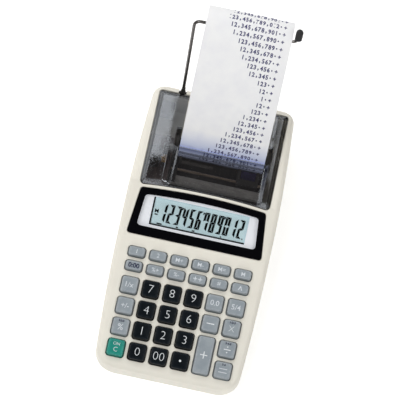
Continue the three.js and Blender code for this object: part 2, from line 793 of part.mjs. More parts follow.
function upperCase() {
  const shell = solid(caseBody(0, seam)).subtract(solid(caseBody(caseWall, seam - overrun)));
  const half = windowBottomWidth / 2 + windowCorner;
  const depthEnd = windowFront + windowDepth;
  const pad = solid(box(-half, half, 0, depthEnd, ledgeUnder, -caseWall / 2)
    .applyMatrix4(panelFrame));
  const bayGrow = bayClearance + bayWall;
  const ring = solid(outlineExtrude(coverOutline(bayGrow), bayBottom, ridgeHeight))
    .intersect(solid(caseBody(caseWall / 2, seam)));
  const bosses = [-1, 1].flatMap((side) => [
    solid(post(side * frontBossX, frontBossY, seam, panelFrontZ, bossRadius)),
    solid(post(side * rearBossX, rearBossY, seam, coverSkirt, bossRadius)),
  ]);
  const posts = [-1, 1].flatMap((side) => postShares.map((share) => {
    const x = side * (boardHalfWidth - postInset);
    const y = boardFront + boardLength * share;
    return solid(post(x, y, matTop + fit, -caseWall / 2, postRadius).applyMatrix4(deckFrame));
  }));
  const bay = solid(outlineExtrude(coverOutline(bayClearance), 0, coverTop + overrun));
  const ledges = [-1, 1].map((side) => {
    const outer = coverWidth / 2 + bayClearance + bayWall / 2;
    const inner = coverWidth / 2 + bayClearance - ledgeReach;
    const from = Math.min(side * outer, side * inner);
    const to = Math.max(side * outer, side * inner);
    return solid(box(from, to, chassisFront, chassisRear, bayBottom, bayBottom + ledgeRise));
  });
  const keyHoles = keyPlan.map(({ x, y, width, depth }) => {
    const a = width / 2 + keyGap;
    const b = depth / 2 + keyGap;
    return solid(box(x - a, x + a, y - b, y + b, -caseWall - overrun, overrun)
      .applyMatrix4(deckFrame));
  });
  const recess = solid(outlineExtrude(windowOutline(fit), windowUnder - fit, overrun)
    .applyMatrix4(panelFrame));
  const opening = solid(outlineExtrude(windowOutline(-ledgeWidth), ledgeUnder - overrun, overrun)
    .applyMatrix4(panelFrame));
  const slotHalf = paperWidth / 2 + slotSpare;
  const slot = solid(box(
    paperMiddle - slotHalf, paperMiddle + slotHalf, halfLength - caseWall - overrun,
    halfLength + overrun, slotBottom, slotBottom + slotHeight,
  ));
  const notchHalf = hubLength / 2 + fit;
  const armNotch = solid(box(
    armX - notchHalf, armX + notchHalf, armPivotY - hubRadius - fit, halfLength + overrun,
    armNotchFloor, ridgeHeight + overrun,
  ));
  const pinHole = solid(bar(
    armX - notchHalf - hubPinLength, armX + notchHalf + hubPinLength, armPivotY, armPivotZ,
    hubPinRadius + fit,
  ));
  const hinge = solid(bar(
    -coverWidth / 2 - coverPinLength - fit, coverWidth / 2 + coverPinLength + fit,
    coverPivotY, coverPivotZ, coverPinRadius + fit,
  ));
  const jackHole = solid(new THREE.CylinderGeometry(jackBore + fit, jackBore + fit,
    caseWall + overrun * 2, roundSides).translate(jackX, halfLength - caseWall / 2, jackZ));
  const bores = [-1, 1].flatMap((side) => [
    solid(post(side * frontBossX, frontBossY, 0, panelFrontZ - caseWall, screwBore)),
    solid(post(side * rearBossX, rearBossY, 0, bayBottom - caseWall, screwBore)),
  ]);
  const armBlock = solid(box(
    armX - notchHalf - hubPinLength - caseWall / 2, armX + notchHalf + hubPinLength + caseWall / 2,
    armPivotY - hubRadius - fit, halfLength - caseWall / 2, armNotchFloor - caseWall,
    ridgeHeight - caseWall / 2,
  ));
  const body = joined([shell, pad, ring, armBlock, ...bosses, ...posts]).subtract(bay);
  const holes = joined([...keyHoles, recess, opening, slot, armNotch, pinHole, hinge, jackHole,
    ...bores]);
  return geometryOf(body.add(joined(ledges)).subtract(holes));
}

// Battery box sizes
const cellBayHalf = (cellCount * cellDiameter + cellSpare) / 2;
const cellBayRear = bayFront + latchRoom + cellLength + contactSpace;
const doorTop = underside + doorThickness;

function lowerCase() {
  const tray = solid(trayBody(0, underside, partingHeight));
  const inside = solid(trayBody(caseWall, floorTop, partingHeight + overrun));
  const outer = cellBayHalf + batteryWall;
  const batteryBox = solid(box(
    -outer, outer, bayFront - batteryWall, cellBayRear + batteryWall, underside, batteryCeiling));
  const cells = solid(box(
    -cellBayHalf, cellBayHalf, bayFront, cellBayRear, 0, batteryCeiling - batteryWall));
  const doorHalf = cellBayHalf + doorLedge + fit;
  const doorHole = solid(box(
    -doorHalf, doorHalf, bayFront - doorLedge - fit, cellBayRear + doorLedge + fit,
    0, doorTop + fit));
  const bosses = [-1, 1].flatMap((side) => [
    solid(post(side * frontBossX, frontBossY, underside, partingHeight, bossRadius)),
    solid(post(side * rearBossX, rearBossY, underside, partingHeight, bossRadius)),
  ]);
  const bores = [-1, 1].flatMap((side) => [
    solid(post(side * frontBossX, frontBossY, 0, seam, screwBore)),
    solid(post(side * rearBossX, rearBossY, 0, seam, screwBore)),
    solid(post(side * frontBossX, frontBossY, 0, floorTop + caseWall, screwHead)),
    solid(post(side * rearBossX, rearBossY, 0, floorTop + caseWall, screwHead)),
  ]);
  const footHalf = footLength / 2 + fit;
  const recesses = [-1, 1].map((side) => {
    const middle = side * (halfLength - footInset - footWidth / 2);
    return solid(box(
      -footHalf, footHalf, middle - footWidth / 2 - fit, middle + footWidth / 2 + fit,
      0, underside + footRecess));
  });
  const body = joined([tray.subtract(inside), batteryBox, ...bosses]);
  return geometryOf(body.subtract(joined([cells, doorHole, ...bores, ...recesses])));
}

function footGeometry(side) {
  const middle = side * (halfLength - footInset - footWidth / 2);
  return box(-footLength / 2, footLength / 2, middle - footWidth / 2, middle + footWidth / 2,
    0, underside + footRecess - fit);
}

function batteryDoor() {
  const half = cellBayHalf + doorLedge;
  const plate = solid(box(
    -half, half, bayFront - doorLedge, cellBayRear + doorLedge, underside, doorTop));
  const latch = solid(box(
    -latchWidth / 2, latchWidth / 2, bayFront + fit, bayFront + fit + latchDepth,
    underside, doorTop + latchDepth));
  return geometryOf(plate.add(latch));
}

// Mat and board lie under the deck, in the deck's frame
const domeTop = plungerEnd - keyTravel - fit;
const matTop = domeTop - domeHeight;
const boardTop = matTop - matThickness - fit;

function keyMat() {
  const sheet = solid(box(-boardHalfWidth, boardHalfWidth, boardFront, boardFront + boardLength,
    matTop - matThickness, matTop));
  const domes = keyPlan.map(({ x, y }) => {
    const dome = new THREE.CylinderGeometry(domeRadius / 2, domeRadius, domeHeight * 2, domeSides);
    return solid(dome.rotateX(Math.PI / 2).translate(x, y, matTop));
  });
  return geometryOf(sheet.add(joined(domes)));
}

function mainBoard() {
  const under = boardTop - boardThickness;
  const sheet = solid(box(-boardHalfWidth, boardHalfWidth, boardFront, boardFront + boardLength,
    under, boardTop));
  const chipY = boardFront + boardLength * chipShare;
  const chip = solid(box(-chipSize / 2, chipSize / 2, chipY, chipY + chipSize,
    under - chipThickness, under + boardThickness / 2));
  return geometryOf(sheet.add(chip));
}

// Printer chassis: base, two arch-topped side plates, end blocks, front rail
const chassisBottom = batteryCeiling + fit;
const chassisFloor = chassisBottom + chassisBase;
const baseLeft = ledgeReach - coverWidth / 2 - bayClearance + fit; // clear of the bay's ledge

function sidePlate(x0, x1) {
  const points = [
    [chassisFront, chassisBottom], [chassisRear, chassisBottom],
    [chassisRear, rollerZ - chassisBase],
  ];
  for (let k = 0; k <= cornerSteps * 2; k += 1) {
    const angle = (k / (cornerSteps * 2)) * Math.PI;
    points.push([
      rollerY + chassisArchBack + chassisArchRadius * Math.cos(angle),
      rollerZ + chassisArchRadius * Math.sin(angle),
    ]);
  }
  points.push([blockFront, blockTop], [guideRodY, blockTop], [chassisFront, chassisShoulder]);
  return solid(alongX(points, x0, x1));
}

function printerChassis() {
  const innerLeft = chassisLeft + chassisPlate;
  const innerRight = chassisRight - chassisPlate;
  const base = solid(box(
    baseLeft, chassisRight, chassisFront, chassisRear, chassisBottom, chassisFloor));
  const rail = solid(box(innerLeft - chassisPlate / 2, innerRight + chassisPlate / 2,
    chassisFront, chassisFront + railDepth, railBottom, railTop));
  const blocks = [
    box(innerLeft - chassisPlate / 2, innerLeft + blockWidth, blockFront, blockRear,
      blockBottom - chassisBase / 2, blockTop),
    box(innerRight - blockWidth / 2, innerRight + chassisPlate / 2, blockFront, blockRear,
      blockBottom - chassisBase / 2, blockTop),
  ].map(solid);
  const holes = [
    bar(chassisLeft - overrun, chassisRight + overrun, rollerY, rollerZ, shaftRadius + fit),
    bar(chassisLeft - overrun, chassisRight + overrun, guideRodY, guideRodZ,
      guideRodRadius + fit),
  ].map(solid);
  const body = joined([base, rail, ...blocks, sidePlate(chassisLeft, innerLeft),
    sidePlate(innerRight, chassisRight)]);
  return geometryOf(body.subtract(joined(holes)));
}

// Turned piece lying along X, from [place along X, radius] pairs
function turned(pairs, y, z, sides) {
  const points = pairs.map(([x, radius]) => new THREE.Vector2(radius, x));
  const geometry = new THREE.LatheGeometry(points, sides);
  return geometry.rotateZ(-Math.PI / 2).translate(0, y, z);
}

const gearRight = chassisLeft - gearStandOff;
const gearLeft = gearRight - gearThickness;

function feedRoller() {
  const sleeveLeft = paperLeft - sleeveOverhang;
  const sleeveRight = paperRight + sleeveOverhang;
  return turned([
    [gearLeft - fit, 0], [gearLeft - fit, shaftRadius], [sleeveLeft, shaftRadius],
    [sleeveLeft, feedRollerRadius], [sleeveRight, feedRollerRadius], [sleeveRight, shaftRadius],
    [chassisRight + fit * 2, shaftRadius], [chassisRight + fit * 2, 0],
  ], rollerY, rollerZ, rollerSides);
}

// Gear outline: root, narrow flank and tip for each tooth
function gearShape(teeth, boreRadius, firstTooth) {
  const pitchRadius = (teeth * toothModule) / 2;
  const root = pitchRadius - toothModule * 1.2;
  const tip = pitchRadius + toothModule;
  const step = (Math.PI * 2) / teeth;
  const shape = new THREE.Shape();
  const corners = [
    [-toothRootShare, root], [-toothTipShare, tip], [toothTipShare, tip], [toothRootShare, root],
  ];
  for (let k = 0; k < teeth; k += 1) {
    corners.forEach(([share, radius], corner) => {
      const angle = firstTooth + (k + share) * step;
      const x = radius * Math.cos(angle);
      const y = radius * Math.sin(angle);
      if (k === 0 && corner === 0) {
        shape.moveTo(x, y);
      } else {
        shape.lineTo(x, y);
      }
    });
  }
  if (boreRadius > 0) {
    const bore = new THREE.Path();
    bore.absarc(0, 0, boreRadius, 0, Math.PI * 2, true);
    shape.holes.push(bore);
  }
  return shape;
}

// Gear standing across X
function gearGeometry(shape, x0, x1, y, z) {
  const options = { depth: x1 - x0, bevelEnabled: false, curveSegments: roundSides };
  return layAlongX(new THREE.ExtrudeGeometry(shape, options), x0, y, z);
}

const gearDistance = ((feedGearTeeth + pinionTeeth) * toothModule) / 2 + backlash;
const motorZ = chassisFloor + fit + motorRadius;
const motorY = rollerY - Math.sqrt(gearDistance ** 2 - (rollerZ - motorZ) ** 2);
const meshAngle = Math.atan2(motorZ - rollerZ, motorY - rollerY);
const motorFace = baseLeft + fit + motorLength;

function feedGear() {
  const gapFirst = meshAngle + Math.PI / feedGearTeeth;
  const shape = gearShape(feedGearTeeth, shaftRadius + fit, gapFirst);
  return gearGeometry(shape, gearLeft, gearRight, rollerY, rollerZ);
}

function motorPinion() {
  const shape = gearShape(pinionTeeth, 0, meshAngle + Math.PI);
  const gear = solid(gearGeometry(shape, gearLeft, gearRight, motorY, motorZ));
  const shaft = solid(bar(motorFace - motorLength / 2, gearLeft + gearThickness / 2, motorY,
    motorZ, motorShaftRadius));
  return geometryOf(gear.add(shaft));
}

function driveMotor() {
  const left = baseLeft + fit;
  const body = solid(turned([
    [left, 0], [left, motorRadius], [motorFace, motorRadius], [motorFace, 0],
  ], motorY, motorZ, rollerSides));
  const bore = solid(bar(motorFace - motorLength / 2 - fit, motorFace + overrun, motorY, motorZ,
    motorShaftRadius + fit));
  return geometryOf(body.subtract(bore));
}

const carriageRight = chassisRight - chassisPlate - blockWidth / 2 - carriageParkGap;
const carriageLeft = carriageRight - carriageWidth;

// Carriage: a block on the guide rod with two cheeks for the ink roller
function printCarriage() {
  const block = solid(box(carriageLeft, carriageRight, carriageFront, carriageRear,
    carriageBottom, carriageTop));
  const pocket = solid(box(carriageLeft + cheekWidth, carriageRight - cheekWidth,
    inkRollerY - inkRollerRadius - fit, carriageRear + overrun,
    inkRollerZ - inkRollerRadius - fit, carriageTop + overrun));
  const rodHole = solid(bar(carriageLeft - overrun, carriageRight + overrun, guideRodY,
    guideRodZ, guideRodRadius + fit));
  const pinHole = solid(bar(carriageLeft + cheekWidth / 2 - fit,
    carriageRight - cheekWidth / 2 + fit, inkRollerY, inkRollerZ, inkPinRadius + fit));
  return geometryOf(block.subtract(joined([pocket, rodHole, pinHole])));
}

function inkRoller() {
  const left = carriageLeft + cheekWidth + fit;
  const right = carriageRight - cheekWidth - fit;
  const pin = cheekWidth / 2;
  return turned([
    [left - pin, 0], [left - pin, inkPinRadius], [left, inkPinRadius], [left, inkRollerRadius],
    [right, inkRollerRadius], [right, inkPinRadius], [right + pin, inkPinRadius], [right + pin, 0],
  ], inkRollerY, inkRollerZ, rollerSides);
}

// Paper arm, in a frame at its pivot with Y pointing up along the arm
function armWire() {
  const at = (x, y) => new THREE.Vector3(x, y, 0);
  const bend = (before, corner, after) => (
    new THREE.QuadraticBezierCurve3(before, corner, after).getPoints(cornerSteps + 1));
  const leanX = armX - armLean;
  const points = [
    at(armX, hubLength / 2 + fit),
    ...bend(at(leanX, armReach - armBend), at(leanX, armReach), at(leanX + armBend, armReach)),
    ...bend(at(capX - capBend, armReach), at(capX, armReach), at(capX, armReach + capBend)),
    at(capX, armReach + capBend + capBore),
  ];
  const rings = points.map((point, k) => {
    const back = points[Math.max(k - 1, 0)];
    const ahead = points[Math.min(k + 1, points.length - 1)];
    const heading = ahead.clone().sub(back).normalize();
    return Array.from({ length: wireSides }, (_, n) => {
      const angle = (n / wireSides) * Math.PI * 2;
      const out = Math.cos(angle) * wireRadius;
      const off = -Math.sin(angle) * wireRadius;
      return [point.x + heading.y * out, point.y - heading.x * out, off];
    });
  });
  return skin(rings);
}

function armHub() {
  const barrel = solid(bar(armX - hubLength / 2, armX + hubLength / 2, 0, 0, hubRadius));
  const pins = solid(bar(armX - hubLength / 2 - hubPinLength, armX + hubLength / 2 + hubPinLength,
    0, 0, hubPinRadius));
  const cone = solid(new THREE.CylinderGeometry(hubTipRadius, hubRadius, hubReach, roundSides)
    .translate(armX, hubReach / 2, 0));
  const bore = solid(new THREE.CylinderGeometry(wireRadius + fit, wireRadius + fit, hubReach,
    roundSides).translate(armX, hubLength / 2 + hubReach / 2, 0));
  return geometryOf(joined([barrel, pins, cone]).subtract(bore));
}

// Rubber cap over the end of the wire
function endCap() {
  const bore = wireRadius + fit;
  const points = [new THREE.Vector2(0, capBore + fit), new THREE.Vector2(bore, capBore + fit),
    new THREE.Vector2(bore, 0), new THREE.Vector2(capRadius, 0)];
  for (let k = 0; k <= cornerSteps; k += 1) {
    const angle = (k / cornerSteps) * (Math.PI / 2);
    points.push(new THREE.Vector2(capRadius * Math.cos(angle),
      capLength - capRadius + capRadius * Math.sin(angle)));
  }
  points[points.length - 1].x = 0;
  return new THREE.LatheGeometry(points, roundSides).translate(capX, armReach + capBend, 0);
}

function dcJack() {
  const rear = halfLength - caseWall - fit;
  const body = solid(box(jackX - jackSize / 2, jackX + jackSize / 2, rear - jackLength, rear,
    jackZ - jackSize / 2, jackZ + jackSize / 2));
  const bore = solid(new THREE.CylinderGeometry(jackBore, jackBore, jackBoreDepth + overrun,
    roundSides).translate(jackX, rear - (jackBoreDepth - overrun) / 2, jackZ));
  return geometryOf(body.subtract(bore));
}

// A named mesh with its own finish
function piece(name, geometry, color, roughness, metalness = 0, opacity = 1) {
  const material = new THREE.MeshStandardMaterial({
    color, roughness, metalness, opacity, transparent: opacity < 1,
  });
  const mesh = new THREE.Mesh(geometry, material);
  mesh.name = name;
  return mesh;
}

const cream = 0xe8e2d0;
const smoke = 0x4a4d55;
const blackPlastic = 0x17181a;
const steel = 0xb9bcc0;

const caseGroup = new THREE.Group();
caseGroup.add(
  piece('upper_case', upperCase(), cream, 0.5),
  piece('lower_case', lowerCase(), cream, 0.55),
  piece('battery_door', batteryDoor(), cream, 0.55),
  piece('front_foot', footGeometry(-1), 0x2a2a2a, 0.9),
  piece('rear_foot', footGeometry(1), 0x2a2a2a, 0.9),
  piece('dc_jack', dcJack(), blackPlastic, 0.5),
);

const deckGroup = new THREE.Group();
deckGroup.position.set(0, deckFrontY, deckFrontHeight);
deckGroup.rotation.x = deckSlope;
keyPlan.forEach((plan) => {
  const key = piece(plan.name, keyGeometry(plan), keyColours[plan.kind], 0.4);
  key.position.set(plan.x, plan.y, 0);
  deckGroup.add(key);
});
deckGroup.add(
  piece('key_mat', keyMat(), 0xb8b4ae, 0.9),
  piece('main_board', mainBoard(), 0x2f6b3f, 0.6),
);

const panelGroup = new THREE.Group();
panelGroup.position.set(0, panelFrontY, panelFrontZ);
panelGroup.rotation.x = panelSlope;
panelGroup.add(
  piece('display_window', outlineExtrude(windowOutline(0), windowUnder, 0), 0x0d0e10, 0.1, 0, 0.6),
  piece('lcd_holder', holderGeometry(), 0xe9e8f2, 0.5),
  piece('lcd_panel', lcdGeometry(), 0xb4c2bd, 0.2),
);

const coverGroup = new THREE.Group();
coverGroup.add(piece('printer_cover', printerCover(), smoke, 0.15, 0, 0.6));
const tearGroup = new THREE.Group();
tearGroup.position.set(0, tearY, tearBarTop);
tearGroup.rotation.x = tearAngle;
tearGroup.add(piece('tear_bar', tearBarGeometry(), smoke, 0.15, 0, 0.6));
coverGroup.add(tearGroup);

const printerGroup = new THREE.Group();
printerGroup.add(
  piece('printer_chassis', printerChassis(), 0x2b2c30, 0.6),
  piece('feed_roller', feedRoller(), 0x202124, 0.8),
  piece('feed_gear', feedGear(), 0xe6e2d8, 0.5),
  piece('motor_pinion', motorPinion(), 0xc8a24a, 0.35, 1),
  piece('drive_motor', driveMotor(), steel, 0.35, 1),
  piece('guide_rod', bar(chassisLeft, chassisRight, guideRodY, guideRodZ, guideRodRadius),
    0xc9a58a, 0.3, 1),
  piece('print_carriage', printCarriage(), 0x26221f, 0.6),
  piece('ink_roller', inkRoller(), 0x3b2a6b, 0.8),
  piece('paper_strip', paperGeometry(), 0xf4f4f8, 0.9),
);

const armGroup = new THREE.Group();
armGroup.position.set(0, armPivotY, armPivotZ);
armGroup.rotation.x = armIncline;
armGroup.add(
  piece('paper_arm', armWire(), steel, 0.25, 1),
  piece('arm_hub', armHub(), blackPlastic, 0.6),
  piece('arm_end_cap', endCap(), blackPlastic, 0.7),
);

const calculator = new THREE.Group();
calculator.add(caseGroup, deckGroup, panelGroup, coverGroup, printerGroup, armGroup);

// Move the origin to the middle of the bounding box's bottom
calculator.updateMatrixWorld(true);
const bounds = new THREE.Box3().setFromObject(calculator, true);
calculator.position.set(
  -(bounds.min.x + bounds.max.x) / 2, -(bounds.min.y + bounds.max.y) / 2, -bounds.min.z);

export default calculator;
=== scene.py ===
"""Printing calculator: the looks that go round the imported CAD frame.

The file follows the machine as it is put together, from the bottom tray to the
paper arm, and ends with the floor, the lights and the camera. Sizes are in
millimetres about the middle of the case until a mesh is made in metres.
"""

import bpy
import numpy as np
from mathutils import Matrix, Vector


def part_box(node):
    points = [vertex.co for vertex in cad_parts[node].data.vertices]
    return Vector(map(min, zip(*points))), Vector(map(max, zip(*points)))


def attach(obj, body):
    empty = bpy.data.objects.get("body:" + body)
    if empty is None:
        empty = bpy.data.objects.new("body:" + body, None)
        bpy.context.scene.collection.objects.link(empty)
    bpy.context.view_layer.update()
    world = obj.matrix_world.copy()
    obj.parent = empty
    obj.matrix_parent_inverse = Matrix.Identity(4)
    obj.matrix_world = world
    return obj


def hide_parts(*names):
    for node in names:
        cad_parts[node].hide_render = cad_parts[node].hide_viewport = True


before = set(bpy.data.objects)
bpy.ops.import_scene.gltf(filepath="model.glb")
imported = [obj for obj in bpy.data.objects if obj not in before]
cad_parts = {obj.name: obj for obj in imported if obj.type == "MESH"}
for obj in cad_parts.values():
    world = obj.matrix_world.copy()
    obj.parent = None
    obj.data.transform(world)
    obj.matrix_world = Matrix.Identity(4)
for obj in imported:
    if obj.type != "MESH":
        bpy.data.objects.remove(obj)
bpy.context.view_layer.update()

# Bottom tray. The real one is injection moulded in cream ABS with a fine
# spark-eroded skin, screwed to the upper shell from below. Its floor holds the
# battery box, two recesses for the feet, four screw wells and four vent slots.

case_middle = (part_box("upper_case")[0].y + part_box("upper_case")[1].y) / 2
case_half_length, case_half_width, side_bow = 95.5, 51.0, 3.4
front_corner, rear_corner = 12.0, 7.0
wall, under, parting = 2.0, 1.0, 9.0


class Tap:
    """What comes out of a shader node; sums and products of taps add their Math nodes."""

    def __init__(self, tree, socket=None):
        self.tree = tree
        self.socket = socket

    def node(self, kind, out=0, sockets=None, **settings):
        """Adds a node with its settings, then its sockets' values or links, and taps one output."""
        made = self.tree.nodes.new("ShaderNode" + kind)
        for name, value in settings.items():
            setattr(made, name, value)
        for name, value in (sockets or {}).items():
            if isinstance(value, Tap):
                self.tree.links.new(value.socket, made.inputs[name])
            else:
                made.inputs[name].default_value = value
        return Tap(self.tree, made.outputs[out])

    def _sum(self, operation, first, second):
        """A Math node on two values."""
        return self.node("Math", operation=operation, sockets={0: first, 1: second})

    def __add__(self, other):
        return self._sum("ADD", self, other)

    __radd__ = __add__

    def __sub__(self, other):
        return self._sum("SUBTRACT", self, other)

    def __rsub__(self, other):
        return self._sum("SUBTRACT", other, self)

    def __mul__(self, other):
        return self._sum("MULTIPLY", self, other)

    __rmul__ = __mul__


def tone(red, green, blue):
    """Linear colour of a display colour given in bytes."""
    share = np.array([red, green, blue]) / 255
    linear = np.where(share <= 0.04045, share / 12.92, ((share + 0.055) / 1.055) ** 2.4)
    return (*linear.tolist(), 1.0)


def mixed(tap, share, first, second):
    """Colour between two colours, by a share that may vary over the surface."""
    return tap.node("Mix", out=2, data_type="RGBA", sockets={0: share, 6: first, 7: second})


def speckle(tap, per_mm, detail=2.0, stretch=(1, 1, 1)):
    """Noise on the piece's own coordinates, with so many blobs in a millimetre."""
    place = tap.node("TexCoord", out=3)
    scale = tuple(1000 * per_mm * side for side in stretch)
    sized = tap.node("Mapping", sockets={0: place, 3: scale})
    return tap.node("TexNoise", sockets={0: sized, "Scale": 1.0, "Detail": detail})


def ramp(tap, value, low, high):
    """0 below low, 1 above high, straight between them."""
    return tap.node("MapRange", clamp=True, sockets={0: value, 1: low, 2: high, 3: 0.0, 4: 1.0})


def clouded(first, second, per_mm, detail=3.0, between=None, stretch=(1, 1, 1)):
    """A tint that drifts from one colour to another with a noise, or between two levels of it."""
    def tint(tap):
        """The drifting colour."""
        drift = speckle(tap, per_mm, detail, stretch)
        return mixed(tap, ramp(tap, drift, *between) if between else drift, first, second)

    return tint


def uneven(per_mm, detail=2.0, swing=None, base=0.0, stretch=(1, 1, 1)):
    """A noise as it is, for a height, or as a roughness that swings so far up from its base."""
    def value(tap):
        """The noise, swung and raised."""
        noise = speckle(tap, per_mm, detail, stretch)
        return noise * swing + base if swing else noise

    return value


def finish(name, colour, rough, height=None, depth=0.05, strength=0.3, varying=None, **fixed):
    """A Principled material: colour and roughness may be taps, height is a bump in depth millimetres."""
    made = bpy.data.materials.new(name)
    made.use_nodes = True
    tree = made.node_tree
    shader = next(node for node in tree.nodes if node.type == "BSDF_PRINCIPLED")
    start = Tap(tree)
    given = {"Base Color": colour, "Roughness": rough, **(varying or {})}
    for socket, value in given.items():
        value = value(start) if callable(value) else value
        if isinstance(value, Tap):
            tree.links.new(value.socket, shader.inputs[socket])
        else:
            shader.inputs[socket].default_value = value
    if height:
        bump = start.node(
            "Bump",
            sockets={"Strength": strength, "Distance": depth / 1000, "Height": height(start)},
        )
        tree.links.new(bump.socket, shader.inputs["Normal"])
    for socket, value in fixed.items():
        shader.inputs[socket.replace("_", " ").title().replace("Ior", "IOR")].default_value = value
    return made


def moulded(name, colour, rough, fade=0.05, grain=3.2, depth=0.02, strength=0.35, **fixed):
    """Moulded plastic: cloudy tint, hair-fine scuffs, and a pebbled skin from the mould."""
    dark = tuple(part * (1 - fade * 2.2) for part in colour[:3]) + (1.0,)
    pale = tuple(min(part * (1 + fade) + 0.01, 1.0) for part in colour[:3]) + (1.0,)

    def tint(tap):
        """Clouds with paler scuffs on them."""
        clouds = mixed(tap, ramp(tap, speckle(tap, 0.045, 3.0), 0.3, 0.7), dark, colour)
        scuffs = ramp(tap, speckle(tap, 0.35, 4.0, (1, 0.12, 1)), 0.66, 0.74)
        return mixed(tap, scuffs * 0.5, clouds, pale)

    def sheen(tap):
        """Roughness with wide wiped patches."""
        wiped = ramp(tap, speckle(tap, 0.12, 3.0, (1, 0.4, 1)), 0.35, 0.7)
        return speckle(tap, 1.6, 1.0) * 0.08 + wiped * 0.1 + (rough - 0.09)

    def pebbles(tap):
        """Height of the pebbled skin."""
        return speckle(tap, grain, 3.0) * 0.8 + speckle(tap, grain * 0.3, 2.0) * 0.3

    return finish(name, tint, sheen, pebbles, depth, strength, **fixed)


def skin(rings):
    """Quads between neighbouring rings of a stack (rings x points x 3), and a face over each end."""
    count, around = rings.shape[:2]
    index = np.arange(count * around).reshape(count, around)
    ahead = np.roll(index, -1, axis=1)
    quads = np.stack([index[:-1], index[1:], ahead[1:], ahead[:-1]], axis=-1).reshape(-1, 4)
    faces = quads.tolist() + [index[0].tolist(), index[-1][::-1].tolist()]
    return rings.reshape(-1, 3), faces


def together(solids):
    """Several solids that don't touch, as one."""
    points, faces, start = [], [], 0
    for solid_points, solid_faces in solids:
        points.append(solid_points)
        faces += [[start + corner for corner in face] for face in solid_faces]
        start += len(solid_points)
    return np.concatenate(points), faces


def slope_to_case(points, front, height, angle):
    """Points of a sloping frame (across, up the slope, off it) in the case's own frame."""
    x, y, z = points[..., 0], points[..., 1], points[..., 2]
    turned_y = front + y * np.cos(angle) - z * np.sin(angle)
    return np.stack([x, turned_y, height + y * np.sin(angle) + z * np.cos(angle)], axis=-1)


def shape(name, solid):
    """A new object from points in millimetres and faces, turned outwards by the sign of the volume."""
    points, faces = solid
    first = np.array([points[face[0]] for face in faces for _ in face[2:]])
    second = np.array([points[a] for face in faces for a in face[1:-1]])
    third = np.array([points[b] for face in faces for b in face[2:]])
    if np.einsum("ij,ij->i", first, np.cross(second, third)).sum() < 0:
        faces = [face[::-1] for face in faces]
    mesh = bpy.data.meshes.new(name)
    mesh.from_pydata((points * 0.001 + [0, case_middle, 0]).tolist(), [], faces)
    made = bpy.data.objects.new(name, mesh)
    bpy.context.scene.collection.objects.link(made)
    return made


def settle(made):
    """Keeps a piece's shape as its modifiers leave it, and drops the modifiers."""
    bpy.context.view_layer.update()
    final = bpy.data.meshes.new_from_object(
        made.evaluated_get(bpy.context.evaluated_depsgraph_get())
    )
    made.modifiers.clear()
    old = made.data
    made.data = final
    bpy.data.meshes.remove(old)


def worked(made, joins=(), cuts=()):
    """Joins solids onto a piece and then cuts others away, one after the other."""
    helpers = []
    tools = [(other, "UNION") for other in joins] + [(other, "DIFFERENCE") for other in cuts]
    for other, operation in tools:
        helper = shape(made.name + "_tool", other)
        helpers.append(helper)
        step = made.modifiers.new("step", "BOOLEAN")
        step.operation, step.solver, step.object = operation, "MANIFOLD", helper
    settle(made)
    for helper in helpers:
        bpy.data.objects.remove(helper)
    return made


def carved(name, solid, joins=(), cuts=()):
    """A solid with others joined on and cut away."""
    return worked(shape(name, solid), joins, cuts)


def smooth(made, angle=32.0):
    """Soft shading except across edges sharper than the angle, led by the largest faces."""
    mesh = made.data
    mesh.shade_smooth()
    mesh.set_sharp_from_angle(angle=np.radians(angle))
    lead = made.modifiers.new("lead", "WEIGHTED_NORMAL")
    lead.keep_sharp = True
    lead.weight = 100
    settle(made)
    return made


def fitted(made, body, slot, *materials, replaces=()):
    """Gives a piece its materials and its body, and hides the CAD nodes that it stands for. The slot is not
    used.
    """
    if materials:
        made.data.materials.clear()
        for material in materials:
            made.data.materials.append(material)
    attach(made, body)
    if replaces:
        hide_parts(*replaces)
    return made


def half_width(y, inset=0.0):
    """Half the outline's width: side less bow times y's share squared, round at the corners."""
    side = case_half_width - inset - side_bow * (y / case_half_length) ** 2
    corner = np.where(y < 0, front_corner, rear_corner) - inset
    drop = corner - (case_half_length - inset - np.abs(y))
    arc = side - corner + np.sqrt(np.clip(corner**2 - drop**2, 0, None))
    return np.where(drop <= 0, side, arc)


front_lip, rear_lip = (-94.8, -90.5), (92.6, 95.3)
top_bends, bend_reach = (-7.84, 24.4, 25.7), 1.3


def case_places(inset):
    """Places along the case: cosine steps in the corners, even ones between, each turn of the top."""
    end = case_half_length - inset
    turn = 1 - np.cos(np.linspace(0, np.pi / 2, 13))
    front = -end + (front_corner - inset) * turn
    rear = end - (rear_corner - inset) * turn
    middle = np.linspace(front[-1], rear[-1], 60)[1:-1]
    turns = [np.linspace(at - bend_reach, at + bend_reach, 7) for at in top_bends]
    lips = [np.linspace(*front_lip, 8), np.linspace(*rear_lip, 7)]
    places = np.sort(np.concatenate([front, rear, middle, *turns, *lips]))
    places = places[np.abs(places) <= end]
    return places[np.insert(np.diff(places) > 0.09, 0, True)]


def box(x0, x1, y0, y1, z0, z1):
    """A block between two corners, for cutting and for ribs."""
    ring = np.array([[x0, y0], [x1, y0], [x1, y1], [x0, y1]])
    low = np.column_stack([ring, np.full(4, z0)])
    high = np.column_stack([ring, np.full(4, z1)])
    return skin(np.stack([low, high]))


def round_plan(width, depth, corner, steps=7):
    """Rectangle with quarter-circle corners, from its right side round to the left, about its middle."""
    turn = np.linspace(0, np.pi / 2, steps)
    out = []
    for k, (side_x, side_y) in enumerate([(1, 1), (-1, 1), (-1, -1), (1, -1)]):
        angle = turn + k * np.pi / 2
        centre = [side_x * (width / 2 - corner), side_y * (depth / 2 - corner)]
        out.append(np.column_stack([np.cos(angle), np.sin(angle)]) * corner + centre)
    return np.concatenate(out)


